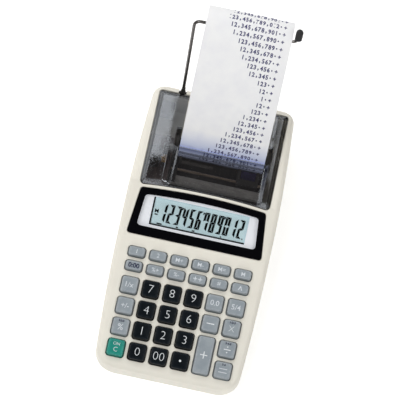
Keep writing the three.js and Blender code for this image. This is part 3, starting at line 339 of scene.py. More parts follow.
def stacked(outlines, heights):
    """A solid whose outlines, all of one point count, stand above each other at the heights."""
    rings = [np.column_stack([plan, np.full(len(plan), z)]) for plan, z in zip(outlines, heights)]
    return skin(np.stack(rings))


def turned(profile, x, y, z, axis="z", steps=32):
    """A lathed solid: pairs of place along the axis and radius, swept round it in even steps."""
    along, radius = np.array(profile, float).T
    angle = np.linspace(0, 2 * np.pi, steps, endpoint=False)
    side = radius[:, None] * np.cos(angle)
    rise = radius[:, None] * np.sin(angle)
    length = np.repeat(along[:, None], steps, axis=1)
    order = {"z": (side, rise, length), "x": (length, side, rise), "y": (rise, length, side)}
    return skin(np.stack(order[axis], axis=-1) + [x, y, z])


def tray_body(inset, bottom, top, round_over):
    """The tray's form: each ring goes up the left wall and down the right, with rounded lower edges."""
    y = case_places(inset)
    half = half_width(y, inset)[:, None]
    turn = np.linspace(np.pi / 2, 0, 7)
    run = round_over * (1 - np.cos(turn))
    rise = round_over * (1 - np.sin(turn))
    left_x = run[None] - half
    ring_x = np.concatenate([left_x, -half, half, -left_x[:, ::-1]], axis=1)
    ring_z = np.concatenate([bottom + rise, [top, top], bottom + rise[::-1]])
    ring_z = np.repeat(ring_z[None], len(y), axis=0)
    return skin(np.stack([ring_x, np.repeat(y[:, None], ring_x.shape[1], axis=1), ring_z], -1))


cream = moulded("cream_abs", tone(233, 229, 217), 0.46, fade=0.018)

cell_half, cell_front, cell_rear = 29.4, -5.2, 51.2
door_seat, box_wall = 1.5, 1.6
box_half = cell_half + box_wall
boss_places = [(-45.0, 0.0), (45.0, 0.0), (-45.6, 76.0), (45.6, 76.0)]
well_profile = [(-1, 2.6), (1.4, 2.3), (5, 2.0)]
screw_wells = together([turned(well_profile, x, y, 0) for x, y in boss_places])
foot_y, foot_length, foot_width, foot_room = 83.0, 60.0, 6.0, 0.6
recess_plan = round_plan(foot_length + foot_room, foot_width + foot_room, 3.29)
foot_recess = together([stacked([recess_plan + [0, y]] * 2, [0, 1.6]) for y in (-foot_y, foot_y)])
door_hole = box(
    -cell_half - door_seat, cell_half + door_seat, cell_front - door_seat, cell_rear + door_seat, -1, 2.9
)
vent_half, vent_width, vent_pitch = 13, 1.6, 3.6
vents = together(
    [box(-vent_half, vent_half, y, y + vent_width, 0, 4) for y in np.arange(62, 74, vent_pitch)]
)
tray = carved(
    "bottom_tray",
    tray_body(0, under, parting, 2.6),
    cuts=[
        tray_body(wall, under + wall, parting + 1, 1.4),
        box(-cell_half, cell_half, cell_front, cell_rear, -1, 18),
        door_hole,
        screw_wells,
        foot_recess,
        vents,
    ],
)
fitted(smooth(tray), "root", "cream_plastic", cream)
battery_box = carved(
    "battery_box",
    box(-box_half, box_half, cell_front - box_wall, cell_rear + box_wall, 2.95, 20.2),
    cuts=[box(-cell_half, cell_half, cell_front, cell_rear, 2, 18.6)],
)
fitted(smooth(battery_box), "root", "cream_plastic", cream)
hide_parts("lower_case")

# Battery door. A flat ABS lid that clips into the floor under the four cells:
# two hooks go in at the rear and a ribbed thumb grip springs back at the front.

door_width, door_length, door_middle, door_edge = 61.2, 58.8, 23.0, 0.3
door_plan = round_plan(door_width, door_length, 1.6) + [0, door_middle]
door_inner = round_plan(door_width - 2 * door_edge, door_length - 2 * door_edge, 1.3) + [0, door_middle]
door_levels = [1.0, 1.0 + door_edge, 2.6]
thumb = [round_plan(15 + grow, 8 + grow, 3.4) + [0, 1.2] for grow in (0, 0, 0.9, 0.9)]
spring_catch = box(-6, 6, -3.9, -2.5, 2.5, 6.5)
hooks = [box(x - 3, x + 3, 50.8, 52.3, 2.5, 4.4) for x in (-19, 19)]
grip_ribs = together([box(-5.6, 5.6, y, y + 0.7, 0.9, 1.65) for y in np.arange(-1.2, 4.2, 1.5)])
door = carved(
    "battery_lid",
    stacked([door_inner, door_plan, door_plan], door_levels),
    joins=[spring_catch, *hooks],
    cuts=[stacked(thumb, [1.7, 1.02, 0.98, 0.5])],
)
fitted(smooth(door), "door", "cream_plastic", cream, replaces=["battery_door"])
fitted(shape("battery_lid_ribs", grip_ribs), "door", "cream_plastic", cream)

# Feet. Two soft rubber strips with rounded ends are glued into their recesses
# and stand a millimetre proud of the floor.

rubber = moulded("foot_rubber", tone(38, 38, 40), 0.78, fade=0.12, grain=2.2, depth=0.05)
for name, y in (("front_foot", -foot_y), ("rear_foot", foot_y)):
    plans = [
        round_plan(foot_length - 2 * pull, foot_width - 2 * pull, 2.98 - pull) + [0, y]
        for pull in (0.45, 0.13, 0, 0)
    ]
    strip = shape(name + "_strip", stacked(plans, [0.0, 0.13, 0.45, 1.3]))
    fitted(smooth(strip), "root", "rubber", rubber, replaces=[name])

# Screws. Four zinc-plated cross-head screws hold the tray to the bosses of the
# upper shell. Each sits at the bottom of its well.

plated = finish(
    "zinc_plate",
    clouded(tone(150, 150, 148), tone(196, 195, 190), 1.5),
    uneven(2.5, swing=0.25, base=0.22),
    uneven(6.0, stretch=(1, 1, 0.1)), depth=0.01, Metallic=1.0,
)
head = [(2.7, 1.1), (2.9, 1.62), (3.2, 1.86), (3.7, 1.86), (3.7, 0.8), (8, 0.8)]
cross_long, cross_wide = 2.0, 0.5
for k, (x, y) in enumerate(boss_places):
    cross = []
    for a, b in ((cross_long, cross_wide), (cross_wide, cross_long)):
        mouth, bottom = round_plan(a, b, 0.14, 3), round_plan(a * 0.5, b * 0.9, 0.08, 3)
        cross.append(stacked([mouth + [x, y], bottom + [x, y]], [2, 3.5]))
    screw = carved(f"case_screw_{k + 1}", turned(head, x, y, 0, steps=28), cuts=cross)
    fitted(smooth(screw), "root", "steel", plated)

# Inlet. A barrel socket for a plug-in supply, moulded in black round a plated
# sleeve and a brass pin, stands behind a round hole in the rear wall.

black_abs = moulded("black_abs", tone(26, 26, 28), 0.4, fade=0.1, grain=4.0, depth=0.012)
brass = finish(
    "brass",
    clouded(tone(150, 112, 52), tone(214, 176, 98), 0.8),
    uneven(3.0, swing=0.2, base=0.2),
    uneven(5.0, 1.0, stretch=(0.1, 1, 1)), depth=0.008, Metallic=1.0,
)
jack_x, jack_z, jack_half = -36.5, 15.4, 4.4
socket_body = carved(
    "inlet_body",
    box(jack_x - jack_half, jack_x + jack_half, 83.6, 93.2, jack_z - jack_half, jack_z + jack_half),
    joins=[turned([(93.0, 3.35), (95.1, 3.35), (95.35, 3.1)], jack_x, 0, jack_z, "y")],
    cuts=[turned([(86.5, 2.75), (94.6, 2.75), (95.6, 3.15)], jack_x, 0, jack_z, "y")],
)
fitted(smooth(socket_body), "root", "black_plastic", black_abs, replaces=["dc_jack"])
pin = [(86.4, 0.95), (93.4, 0.95), (93.9, 0.8), (94.1, 0.45)]
fitted(smooth(shape("inlet_pin", turned(pin, jack_x, 0, jack_z, "y"))), "root", "brass", brass)

# Circuit board and key mat. The board hangs under the keys on six posts: green
# solder mask over copper tracks, one black chip. The grey silicone mat lies on
# it, with a hollow dome under each key.


def dressed(name, material, *more):
    """A CAD piece keeps its own shape and takes a material."""
    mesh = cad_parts[name].data
    mesh.materials.clear()
    for one in (material, *more):
        mesh.materials.append(one)


def tracks(tap):
    """Copper tracks under the mask: thin bands where a coarse noise crosses some of its levels."""
    wander = speckle(tap, 0.09, 1.0, (1, 0.4, 1)) * 30
    band = tap.node("Math", operation="PINGPONG", sockets={0: wander, 1: 1.0})
    return mixed(tap, ramp(tap, band, 0.55, 0.65), tone(16, 70, 44), tone(44, 110, 62))


board_green = finish("circuit_board", tracks, uneven(2.0, 1.0, 0.12, 0.28), uneven(1.2), depth=0.02)
dressed("main_board", board_green)
dressed("key_mat", moulded("mat_silicone", tone(118, 120, 122), 0.7, fade=0.06, grain=2.0))

# Upper shell. One cream ABS moulding carries the sloping key deck, the steeper
# display panel, the narrow ridge and the flat printer end. Its key holes, window
# seat and printer bay have softly rounded rims. It is 2 mm thick all over.

top_places = np.array([-95.5, -94.75, -93, -7.84, 24.13, 25.73, 93.1, 94.78, 95.5])
top_heights = np.array([12.4, 14.13, 15, 26.97, 40.21, 41.2, 41.2, 40.48, 38.8])
deck_front, deck_height, deck_angle = -93.0, 15.0, np.arcsin(11.97 / 86)
panel_front, panel_height, panel_angle = -7.837, 26.97, np.radians(22.5)
seam = parting + 0.3


def top_line(y):
    """Height of the case's top: the straight runs averaged over a millimetre to each side."""
    spread = np.linspace(-0.85, 0.85, 9)
    heights = np.interp(y[:, None] + spread, top_places, top_heights)
    near_end = np.clip((case_half_length - np.abs(y)) / 0.85, 0, 1)
    return np.interp(y, top_places, top_heights) * (1 - near_end) + heights.mean(1) * near_end


def shell_body(inset, bottom):
    """Rings along the case: up the left wall, round an elliptical shoulder, flat across, down again."""
    y = case_places(inset)
    half = half_width(y, inset)[:, None]
    top = top_line(np.clip(y, -95.5, 95.5))[:, None] - inset
    turn = np.linspace(0, np.pi / 2, 9)[None]
    across = 3.4 - inset * 0.7
    rise = np.minimum(4.4 - inset * 0.7, (top - seam) * 0.8)
    arc_x = half - across * (1 - np.cos(turn))
    arc_z = top - rise * (1 - np.sin(turn))
    foot = np.full_like(half, bottom)
    ring_x = np.concatenate([-half, -arc_x, arc_x[:, ::-1], half], axis=1)
    ring_z = np.concatenate([foot, arc_z, arc_z[:, ::-1], foot], axis=1)
    return skin(np.stack([ring_x, np.repeat(y[:, None], ring_x.shape[1], axis=1), ring_z], -1))


column_pitch, row_pitch_main = 14.3, 14.15
columns = (np.arange(6) - 2.5) * column_pitch
main_rows = 10.08 + np.arange(4) * row_pitch_main
small_rows = np.array([65.65, 75.3])
cap_width, cap_depth, small_depth, plus_depth = 11.3, 11.4, 6.8, 25.55
hole_room = 0.8
key_table = {
    "key_clear": (0, 0, "green", "C"), "key_0": (1, 0, "black", "0"),
    "key_00": (2, 0, "black", "00"), "key_point": (3, 0, "black", "."),
    "key_equals": (5, 0, "grey", "="), "key_percent": (0, 1, "grey", "%"),
    "key_1": (1, 1, "black", "1"), "key_2": (2, 1, "black", "2"),
    "key_3": (3, 1, "black", "3"), "key_divide": (5, 1, "grey", "÷"),
    "key_sign": (0, 2, "grey", "+/-"), "key_4": (1, 2, "black", "4"),
    "key_5": (2, 2, "black", "5"), "key_6": (3, 2, "black", "6"),
    "key_minus": (4, 2, "grey", "-"), "key_multiply": (5, 2, "grey", "x"),
    "key_root": (0, 3, "grey", "1/x"), "key_7": (1, 3, "black", "7"),
    "key_8": (2, 3, "black", "8"), "key_9": (3, 3, "black", "9"),
    "key_decimals": (4, 3, "grey", "0.0"), "key_round": (5, 3, "grey", "5/4"),
    "key_plus": (4, 0.5, "grey", "+"),
    "key_time": (0, 4, "grey", "0:00"), "key_date": (1, 4, "grey", "%+"),
    "key_tax_add": (2, 4, "grey", "%-"), "key_tax_take": (3, 4, "grey", "++"),
    "key_print": (4, 4, "grey", "#"), "key_feed": (5, 4, "grey", "^"),
    "key_rate_one": (0, 5, "grey", "1"), "key_rate_two": (1, 5, "grey", "2"),
    "key_memory_add": (2, 5, "grey", "M+"), "key_memory_take": (3, 5, "grey", "M-"),
    "key_memory_recall": (4, 5, "grey", "M="), "key_memory_clear": (5, 5, "grey", "M"),
}


def key_place(column, row):
    """Middle and size of a key's cap on the deck: column, and row counted from the front."""
    if row == 0.5:
        return columns[column], main_rows[:2].mean(), cap_width, plus_depth
    if row < 4:
        return columns[column], main_rows[row], cap_width, cap_depth
    return columns[column], small_rows[row - 4], cap_width, small_depth


def rim_cut(plan_of, deep, radius, steps=6):
    """A hole whose rim is a quarter round: straight below, then flaring by radius at the surface."""
    turn = np.linspace(0, np.pi / 2, steps)
    grow = np.concatenate([[0], radius * (1 - np.cos(turn)), [radius]])
    heights = np.concatenate([[-deep], radius * (np.sin(turn) - 1), [1.6]])
    return stacked([plan_of(wide) for wide in grow], heights)


def on_deck(solid):
    """From the key deck's frame to the case's."""
    points, faces = solid
    return slope_to_case(points, deck_front, deck_height, deck_angle), faces


def on_panel(solid):
    """From the display panel's frame to the case's."""
    points, faces = solid
    return slope_to_case(points, panel_front, panel_height, panel_angle), faces


def key_hole(column, row):
    """The hole of one key, a little larger than its cap, with a rounded rim."""
    x, y, width, depth = key_place(column, row)

    def plan(grow):
        """The hole's outline, grown to each side."""
        room = hole_room + 2 * grow
        return round_plan(width + room, depth + room, 2.1 + grow) + [x, y]

    return rim_cut(plan, 4.0, 0.35)


def bent(start, control, end, steps):
    """Points on a quadratic curve, its first one left out."""
    t = np.linspace(0, 1, steps + 1)[1:, None]
    start, control, end = (np.array(point, float) for point in (start, control, end))
    return start * (1 - t) ** 2 + 2 * control * t * (1 - t) + end * t**2


def arched_plan(a, b, corner, draw, front, rear, rise):
    """A straight front edge, sides drawn in from half width a to b, and an arched rear edge."""
    right = np.concatenate([
        [[0, front], [a - corner, front]],
        bent([a - corner, front], [a, front], [a - draw, front + corner], 6),
        bent([b + draw, rear - corner], [b, rear], [b - corner, rear], 6),
        bent([b - corner, rear], [b * 0.45, rear + rise], [0, rear + rise], 8),
    ])
    return np.concatenate([right, right[-2:0:-1] * [-1, 1]])


def window_plan(grow):
    """The display window, seen along its normal."""
    corner = 2.4 + grow * 0.5
    return arched_plan(45.4 + grow, 42.1 + grow, corner, corner * 0.1, 1.1 - grow, 32.4 + grow, 1.9)


cover_half, cover_rear, cover_corner, cover_arch = 43.4, 91.4, 2.6, 2.2


def cover_front(x, grow=0.0):
    """Front edge of the printer cover: arched back in the middle, rounded at both corners."""
    half, corner = cover_half + grow, cover_corner + grow
    arch = cover_arch * (1 - (x / half) ** 2)
    past = np.clip(np.abs(x) - (half - corner), 0, corner)
    return 24.0 - grow + arch + corner - np.sqrt(corner**2 - past**2)


def bay_plan(grow):
    """Outline of the printer bay: the cover's arched front edge, straight sides and a straight rear."""
    half = cover_half + grow
    x = -half * np.cos(np.linspace(0, np.pi, 49))
    edge = np.column_stack([x, cover_front(x, grow)])
    rear = cover_rear + grow
    turn = np.linspace(0, np.pi / 2, 5)
    corner = np.column_stack([half - 2 + 2 * np.cos(turn), rear - 2 + 2 * np.sin(turn)])
    return np.concatenate([edge, corner, corner[::-1] * [-1, 1]])


bay_gap, ridge_height = 0.4, 41.2
bay_points, bay_faces = rim_cut(lambda grow: bay_plan(bay_gap + grow), 8.0, 0.6)
bay_hole = (bay_points + [0, 0, ridge_height], bay_faces)
arm_x = -28.8
jack_hole = turned([(92, 3.5), (95.1, 3.5), (96, 4.4)], jack_x, 0, jack_z, "y")
slot_width, slot_height, slot_x, slot_z = 59.9, 4.8, 5.6, 24.7
slot_rings = []
for y, grow in ((92, 0.0), (95.0, 0.0), (96, 1.0)):
    plan = round_plan(slot_width + 2 * grow, slot_height + 2 * grow, 1.2 + grow)
    slot_rings.append(np.column_stack([plan[:, 0] + slot_x, np.full(len(plan), y), plan[:, 1] + slot_z]))
rear_slot = skin(np.stack(slot_rings))
boss_radius = 2.6
bosses = []
for places, high in ((boss_places[2:], 36.5), (boss_places[:2], 26.0)):
    profile = [(seam, boss_radius), (high, boss_radius)]
    bosses.append(together([turned(profile, x, y, 0) for x, y in places]))
upper = carved("upper_shell", shell_body(0, seam), cuts=[shell_body(wall, seam - 1)])
worked(
    upper,
    joins=[
        on_panel(stacked([window_plan(2.0)] * 2, [-3.3, -1.0])),
        stacked([bay_plan(2.2)] * 2, [36.4, 39.25]),
        box(arm_x - 5.0, arm_x + 5.0, cover_rear, 94.5, 33.6, 40.2),
        *bosses,
    ],
    cuts=[
        bay_hole,
        together([on_deck(key_hole(column, row)) for column, row, _, _ in key_table.values()]),
        on_panel(rim_cut(lambda grow: window_plan(0.3 + grow), 1.7, 0.25)),
        on_panel(stacked([window_plan(-2.2)] * 2, [-5, 1])),
        box(arm_x - 2.6, arm_x + 2.6, cover_rear, 97, 35.6, 43),
        rear_slot,
        jack_hole,
    ],
)
fitted(smooth(upper), "root", "cream_plastic", cream, replaces=["upper_case"])

# Keys. Each is a moulded ABS cap with drawn-in sides, a rounded edge and a
# slightly hollow top, on a flange that keeps it under the deck. Digits and
# marks are pad-printed on top in a thin ink.


def key_plastic(name, low, high, worn_and_lit_edge, rough, refraction):
    """Key plastic: clouds of two tones, paler and smoother on the edge the attribute marks, where wear and
    a painted rim highlight lie.
    """
    def rubbed(tap):
        """How far a place lies on the rubbed edge, which also carries the painted rim highlight."""
        return tap.node("Attribute", out=2, attribute_name="rub")

    def tint(tap):
        """Clouds, with the paler edge tone in patches along the edge: wear, and a painted rim highlight."""
        rub = rubbed(tap)
        clouds = mixed(tap, ramp(tap, speckle(tap, 0.15, 3.0), 0.3, 0.7), low, high)
        return mixed(tap, ramp(tap, speckle(tap, 0.8, 3.0), 0.3, 0.75) * rub * 0.55, clouds, worn_and_lit_edge)

    def sheen(tap):
        """Roughness, a little less where it is rubbed."""
        return speckle(tap, 1.1, 2.0) * 0.14 + (rough - 0.07) - 0.08 * rubbed(tap)

    return finish(name, tint, sheen, uneven(5.0), depth=0.015, strength=0.25, IOR=refraction)


# The third tone of each is the paler edge: worn plastic with a painted rim highlight.
black_tones = tone(4, 11, 17), tone(8, 15, 21), tone(50, 56, 62)
grey_tones = tone(137, 146, 153), tone(150, 158, 163), tone(186, 190, 193)
green_tones = tone(14, 124, 111), tone(22, 138, 123), tone(100, 180, 168)
key_finishes = {
    "black": key_plastic("key_black", *black_tones, 0.36, 1.22),
    "grey": key_plastic("key_grey", *grey_tones, 0.42, 1.4),
    "green": key_plastic("key_green", *green_tones, 0.4, 1.35),
}


def ink(name, colour):
    """Printed ink: nearly even, a little thin in places."""
    thin = tuple(part * 0.82 for part in colour[:3]) + (1.0,)
    return finish(name, clouded(thin, colour, 1.4, between=(0.35, 0.6)), uneven(2.0, 1.0, 0.2, 0.4))


white_ink = ink("white_ink", tone(232, 236, 238))
pale_ink = ink("pale_ink", tone(214, 219, 224))
blue_ink = ink("dark_blue_ink", tone(12, 22, 62))
cap_rise, hollow, cap_corner, cap_draw, cap_edge = 3.2, 0.22, 1.9, 0.42, 0.55
flange_out, flange_low, flange_high = 0.9, -3.3, -2.3


def cap(width, depth):
    """Rings of a key: flange, straight skirt, drawn-in sides, quarter-round edge, then a hollow top.
    The top is lower than the rise by the hollow times one less the square of the way out."""
    rows = [(-flange_out, flange_low), (-flange_out, flange_high), (0.0, flange_high), (0.0, 0.0)]
    for a in np.linspace(0, np.pi / 2, 6):
        rows.append((cap_draw + cap_edge * (1 - np.cos(a)), cap_rise - cap_edge * (1 - np.sin(a))))
    plans = []
    for off, _ in rows:
        corner = max(cap_corner - off * 0.6, 0.4)
        plans.append(round_plan(width - 2 * off, depth - 2 * off, corner))
    rings = [np.column_stack([plan, np.full(len(plan), z)]) for plan, (_, z) in zip(plans, rows)]
    last = plans[-1]
    for share in (0.9, 0.75, 0.55, 0.35, 0.15, 0.02):
        dip = cap_rise - hollow * (1 - share**2)
        rings.append(np.column_stack([last * share, np.full(len(last), dip)]))
    around = len(last)
    # Paler edge rings: rubbed wear together with a painted rim highlight.
    rub = np.zeros((len(rings), around))
    rub[5:11] = 1.0
    rub[9:11] = 0.6
    return np.stack(rings), rub


def letters(name, text, height, width=None, weight=0.0):
    """A thin solid of some text: so high, about its own middle, its strokes swelled by the weight."""
    curve = bpy.data.curves.new(name, "FONT")
    curve.body, curve.extrude, curve.offset, curve.resolution_u = text, 0.004, weight, 3
    holder = bpy.data.objects.new(name, curve)
    bpy.context.scene.collection.objects.link(holder)
    bpy.context.view_layer.update()
    mesh = bpy.data.meshes.new_from_object(holder.evaluated_get(bpy.context.evaluated_depsgraph_get()))
    points = np.zeros(len(mesh.vertices) * 3)
    mesh.vertices.foreach_get("co", points)
    points = points.reshape(-1, 3)
    faces = [list(face.vertices) for face in mesh.polygons]
    bpy.data.objects.remove(holder)
    bpy.data.meshes.remove(mesh)
    bpy.data.curves.remove(curve)
    low, high = points.min(0), points.max(0)
    scale_y = height / (high[1] - low[1])
    scale_x = width / (high[0] - low[0]) if width else scale_y
    middle = (low + high) / 2
    flat = (points - middle) * [scale_x, scale_y, 1]
    flat[:, 2] = np.where(points[:, 2] > middle[2], 1.0, 0.0)
    return flat, faces


small_marks = {
    "key_percent": "0.0.0", "key_multiply": "1-2-3", "key_divide": "3-4-5", "key_equals": "5-6",
}
small_mark_height = 1.5
heights = {"%": 4.2, "x": 3.9, "1/x": 3.4, "+/-": 3.4}
strokes = {
    ".": [(1.5, 1.5, 0, 0)],
    "-": [(5.2, 0.6, 0, 0)],
    "=": [(5.6, 0.5, 0, 1.2), (5.6, 0.5, 0, -1.2)],
    "+": [(4.8, 0.65, 0, 0), (0.65, 2.05, 0, 1.375), (0.65, 2.05, 0, -1.375)],
    "÷": [(4.6, 0.6, 0, 0), (0.9, 0.9, 0, 1.9), (0.9, 0.9, 0, -1.9)],
}


def stroked(mark):
    """A sign as bars and round dots: width, height and middle of each."""
    drawn = []
    for wide, high, x, y in strokes[mark]:
        plan = round_plan(wide, high, min(wide, high) * (0.49 if wide == high else 0.15)) + [x, y]
        drawn.append(stacked([plan, plan], [0.0, 1.0]))
    return together(drawn)


def key_words(name, kind, mark, small):
    """What is printed on a key: text, height, place on the cap, ink, and how far its strokes swell."""
    swell = {"black": -0.022, "green": -0.012}.get(kind, 0.008)
    if kind == "green":
        return [("ON", 2.0, (0, 2.4), white_ink, swell), ("C", 3.0, (0, -1.4), white_ink, swell)]
    if name == "key_time":
        return [(mark, 3.3, (0, 0), blue_ink, 0.03)]
    tall = 2.8 if small else 5.3 if mark.isdigit() else heights.get(mark, 3.6)
    bright = kind == "black" or mark in "+-x÷" or name == "key_rate_one"
    at = (0, -0.4 if name in small_marks else 0)
    words = [(mark, tall, at, white_ink if bright else pale_ink, -0.03 if mark == "x" else swell)]
    if name in small_marks:
        words.append((small_marks[name], small_mark_height, (0, 3.7), blue_ink, 0.05))
    return words


def cap_top(px, py, width, depth):
    """Height of a cap's hollow top at a place on it."""
    inner = cap_draw + cap_edge
    share = np.clip(np.maximum(np.abs(px) / (width / 2 - inner), np.abs(py) / (depth / 2 - inner)), 0, 1)
    return cap_rise - hollow * (1 - share**2)


def film(flat, width, depth, at):
    """Lays a flat solid on a cap's top: its floor a hair above, its top a little higher."""
    points = flat.copy()
    points[:, :2] += at
    points[:, 2] = cap_top(points[:, 0], points[:, 1], width, depth) + 0.02 + 0.03 * flat[:, 2]
    return points


legend_margin = 3.0
for name, (column, row, kind, mark) in key_table.items():
    x, y, width, depth = key_place(column, row)
    rings, rub = cap(width, depth)
    points, faces = skin(rings)
    key = shape(name + "_cap", on_deck((points + [x, y, 0], faces)))
    worn_and_lit_edge = key.data.attributes.new("rub", "FLOAT", "POINT")
    worn_and_lit_edge.data.foreach_set("value", rub.ravel().astype(np.float32))
    fitted(smooth(key), name + "_body", "key_" + kind, key_finishes[kind], replaces=[name])
    for k, (text, high, at, colour, weight) in enumerate(key_words(name, kind, mark, depth < 10)):
        flat, word_faces = stroked(text) if text in strokes else letters(name, text, high, None, weight)
        flat[:, 0] *= min(1.0, (width - legend_margin) / np.ptp(flat[:, 0]))
        laid = film(flat, width, depth, at) + [x, y, 0]
        legend = shape(f"{name}_mark_{k + 1}", on_deck((laid, word_faces)))
        fitted(legend, name + "_body", "key_" + kind, colour)

# Display. A glass cell with a pale blue-green reflector behind it lies under a
# white holder. The digits are seven-segment shapes a little above the
# reflector, so they throw a faint shadow on it.

lcd_middle, cell_width, cell_depth, cell_edge = 18.2, 70.2, 24.2, 0.2
reflector = finish(
    "lcd_reflector",
    clouded(tone(213, 240, 246), tone(220, 246, 250), 0.03, 2.0, between=(0.35, 0.65)),
    uneven(4.0, swing=0.2, base=0.4), uneven(7.0), depth=0.02,
)
cell_plan = round_plan(cell_width, cell_depth, 0.6) + [0, lcd_middle]
cell_face = round_plan(cell_width - 2 * cell_edge, cell_depth - 2 * cell_edge, 0.5) + [0, lcd_middle]
lcd_cell = shape("lcd_cell", on_panel(stacked([cell_plan, cell_plan, cell_face], [-8.1, -6.75, -6.55])))
fitted(smooth(lcd_cell), "root", "lcd_glass", reflector, replaces=["lcd_panel"])

segment_ink = finish("segment_black", clouded(tone(2, 6, 9), tone(8, 14, 18), 1.2, 2.0), 0.5, IOR=1.12)
ink_low, ink_high = -6.32, -6.29
thick, digit_width, digit_height, digit_pitch, lean = 1.5, 3.5, 12.5, 4.74, 0.07
lit = {
    "0": "abcdef", "1": "bc", "2": "abged", "3": "abgcd", "4": "fgbc",
    "5": "afgcd", "6": "afgedc", "7": "fabc", "8": "abcdefg", "9": "abcdfg",
}


def segments():
    """The bars of a digit as plan outlines: six mitred round the edge, a pointed one in the middle."""
    w, h, t, hair = digit_width, digit_height, thick, 0.12
    low, high = h / 2 - t / 2, h / 2 + t / 2
    top = np.array([[hair, h], [w - hair, h], [w - t - hair, h - t], [t + hair, h - t]])
    upright = np.array([[0, h - hair], [t, h - t - hair], [t, high + hair], [0, h / 2 + hair]])
    middle = np.array([[hair, h / 2], [t, high], [w - t, high], [w - hair, h / 2], [w - t, low], [t, low]])
    over, across = np.array([0, h]), np.array([w, 0])
    return {
        "a": top, "d": top * [1, -1] + over, "f": upright, "e": upright * [1, -1] + over,
        "b": upright * [-1, 1] + across, "c": upright * [-1, -1] + across + over, "g": middle,
    }


def digit_shapes(symbol, left):
    """The lit bars of a digit, leaning to the right."""
    plans = [segments()[part].copy() for part in lit[symbol]]
    for plan in plans:
        plan[:, 0] += left + lean * plan[:, 1]
    return plans


digits_left, digits_low = -26.3, lcd_middle - 6.3
comma = np.array([[0, 10.5], [0.6, 10.6], [1.0, 12.1], [0.2, 12.1], [0.05, 11.4], [0.0, 11.0]])
plans = []
for k, symbol in enumerate("123456789012"):
    plans += digit_shapes(symbol, digits_left + k * digit_pitch)
plans += [comma + [digits_left + k * digit_pitch - 0.35, 0] for k in (3, 6, 9)]
full_stop = round_plan(0.9, 0.9, 0.2, 2)[[0, 1, 3, 5, 6, 7]]
plans.append(full_stop + [digits_left + 12 * digit_pitch - 0.5, 0.1])
digits = together([stacked([plan + [0, digits_low]] * 2, [ink_low, ink_high]) for plan in plans])
fitted(shape("lcd_digits", on_panel(digits)), "root", "lcd_glass", segment_ink)
marks = [round_plan(2.0, 0.8, 0.1, 3) + [-28.8, 16.3]]
for x, wide in ((-25.5, 3.4), (-13.5, 1.4), (-2.5, 1.8), (16.0, 0.7)):
    marks.append(round_plan(wide, 0.8, 0.1, 3) + [x, 10.5])
memory_sign, sign_faces = letters("memory_sign", "M", 2.4, 2.5, 0.05)
memory_sign = memory_sign * [1, 1, ink_high - ink_low] + [-28.8, 18.6, ink_low]
lit_marks = [stacked([plan, plan], [ink_low, ink_high]) for plan in marks] + [(memory_sign, sign_faces)]
fitted(shape("lcd_marks", on_panel(together(lit_marks))), "root", "lcd_glass", segment_ink)

# Holder. A white moulded frame presses the cell against its seat, with a faint
# painted glow on it. Two black strips under its left and front edges are
# painted shadow: they show the recess's shade as dark lines from above.

# The holder's emission is a painted glow that lightens it down in its recess.
pale = moulded(
    "holder_white_painted_glow", tone(248, 250, 254), 0.5, fade=0.01, grain=3.0, depth=0.015,
    Emission_Color=(0.9, 0.93, 1.0, 1.0), Emission_Strength=0.24,
)
holder_plan = round_plan(82.8, 28.9, 1.2) + [0, 17.75]
mouth = [round_plan(64.4 + g, 18.8 + g, 0.5 + g / 2) + [0, lcd_middle] for g in (0, 0, 0.8)]
holder = carved(
    "lcd_frame",
    on_panel(stacked([holder_plan] * 3, [-6.0, -4.0, -3.6])),
    cuts=[on_panel(stacked(mouth, [-7, -3.95, -3.55]))],
)
fitted(smooth(holder), "root", "pale_plastic", pale, replaces=["lcd_holder"])
# Painted shadow: black strips where the recess's shade falls along the cell's left and front edges.
shadow_strip_black = finish("painted_shadow_black", tone(20, 24, 28), 0.8, uneven(3.0), depth=0.05)
for side, wide, deep, x, y in (("left", 1.1, 18.7, -31.7, 0.0), ("front", 64.3, 1.1, 0.0, -8.95)):
    strip = stacked([round_plan(wide, deep, 0.1, 3) + [x, lcd_middle + y]] * 2, [-6.5, -6.1])
    fitted(shape("lcd_shadow_strip_" + side, on_panel(strip)), "root", "black_plastic", shadow_strip_black)

# Window. One clear acrylic plate, back-printed in gloss black round its clear
# middle, is glued flush into the panel. Its edges are polished.


def opening_plan(grow=0.0):
    """The clear middle of the window."""
    return arched_plan(40.4 + grow, 38.7 + grow, 2.6, 0.13, 6.7 - grow, 28.8 + grow, 1.5)


window_under, window_edge = -1.4, -0.2
window_rings = [(plan, window_under) for plan in (opening_plan(-0.5), opening_plan(), window_plan(0))]
window_rings += [(window_plan(0), window_edge), (window_plan(-0.15), 0.0)]
window_rings += [(opening_plan(), 0.0), (opening_plan(-0.5), 0.0)]
window_solid = stacked(*zip(*window_rings))
glass_clear = finish(
    "clear_acrylic", tone(70, 75, 78), uneven(0.3, 3.0, 0.06, 0.03),
    varying={"Alpha": lambda tap: tap.node("Fresnel", sockets={"IOR": 1.49}) * 0.6 + 0.01},
)


def smeared(tap):
    """A gloss that faint wiped streaks dull a little."""
    return ramp(tap, speckle(tap, 0.25, 4.0, (1, 0.3, 1)), 0.55, 0.8) * 0.12 + 0.06


glass_black = finish(
    "back_printed_black", clouded(tone(4, 4, 7), tone(7, 7, 11), 0.2, 2.0), smeared, IOR=1.3
)
window = shape("display_lens", on_panel(window_solid))
fitted(smooth(window, 50), "root", "window", glass_black, glass_clear, replaces=["display_window"])
corners = np.array([len(face.vertices) for face in window.data.polygons])
clear_faces = corners > 20
window.data.polygons.foreach_set("material_index", np.where(clear_faces, 1, 0))
# Printer frame. Black glass-filled nylon: a floor, two side plates that arch
# over the feed roller's bearings, and a block inside each plate that the paper's
# edges run past. A grey guide rail lies across the front, screwed to both plates.


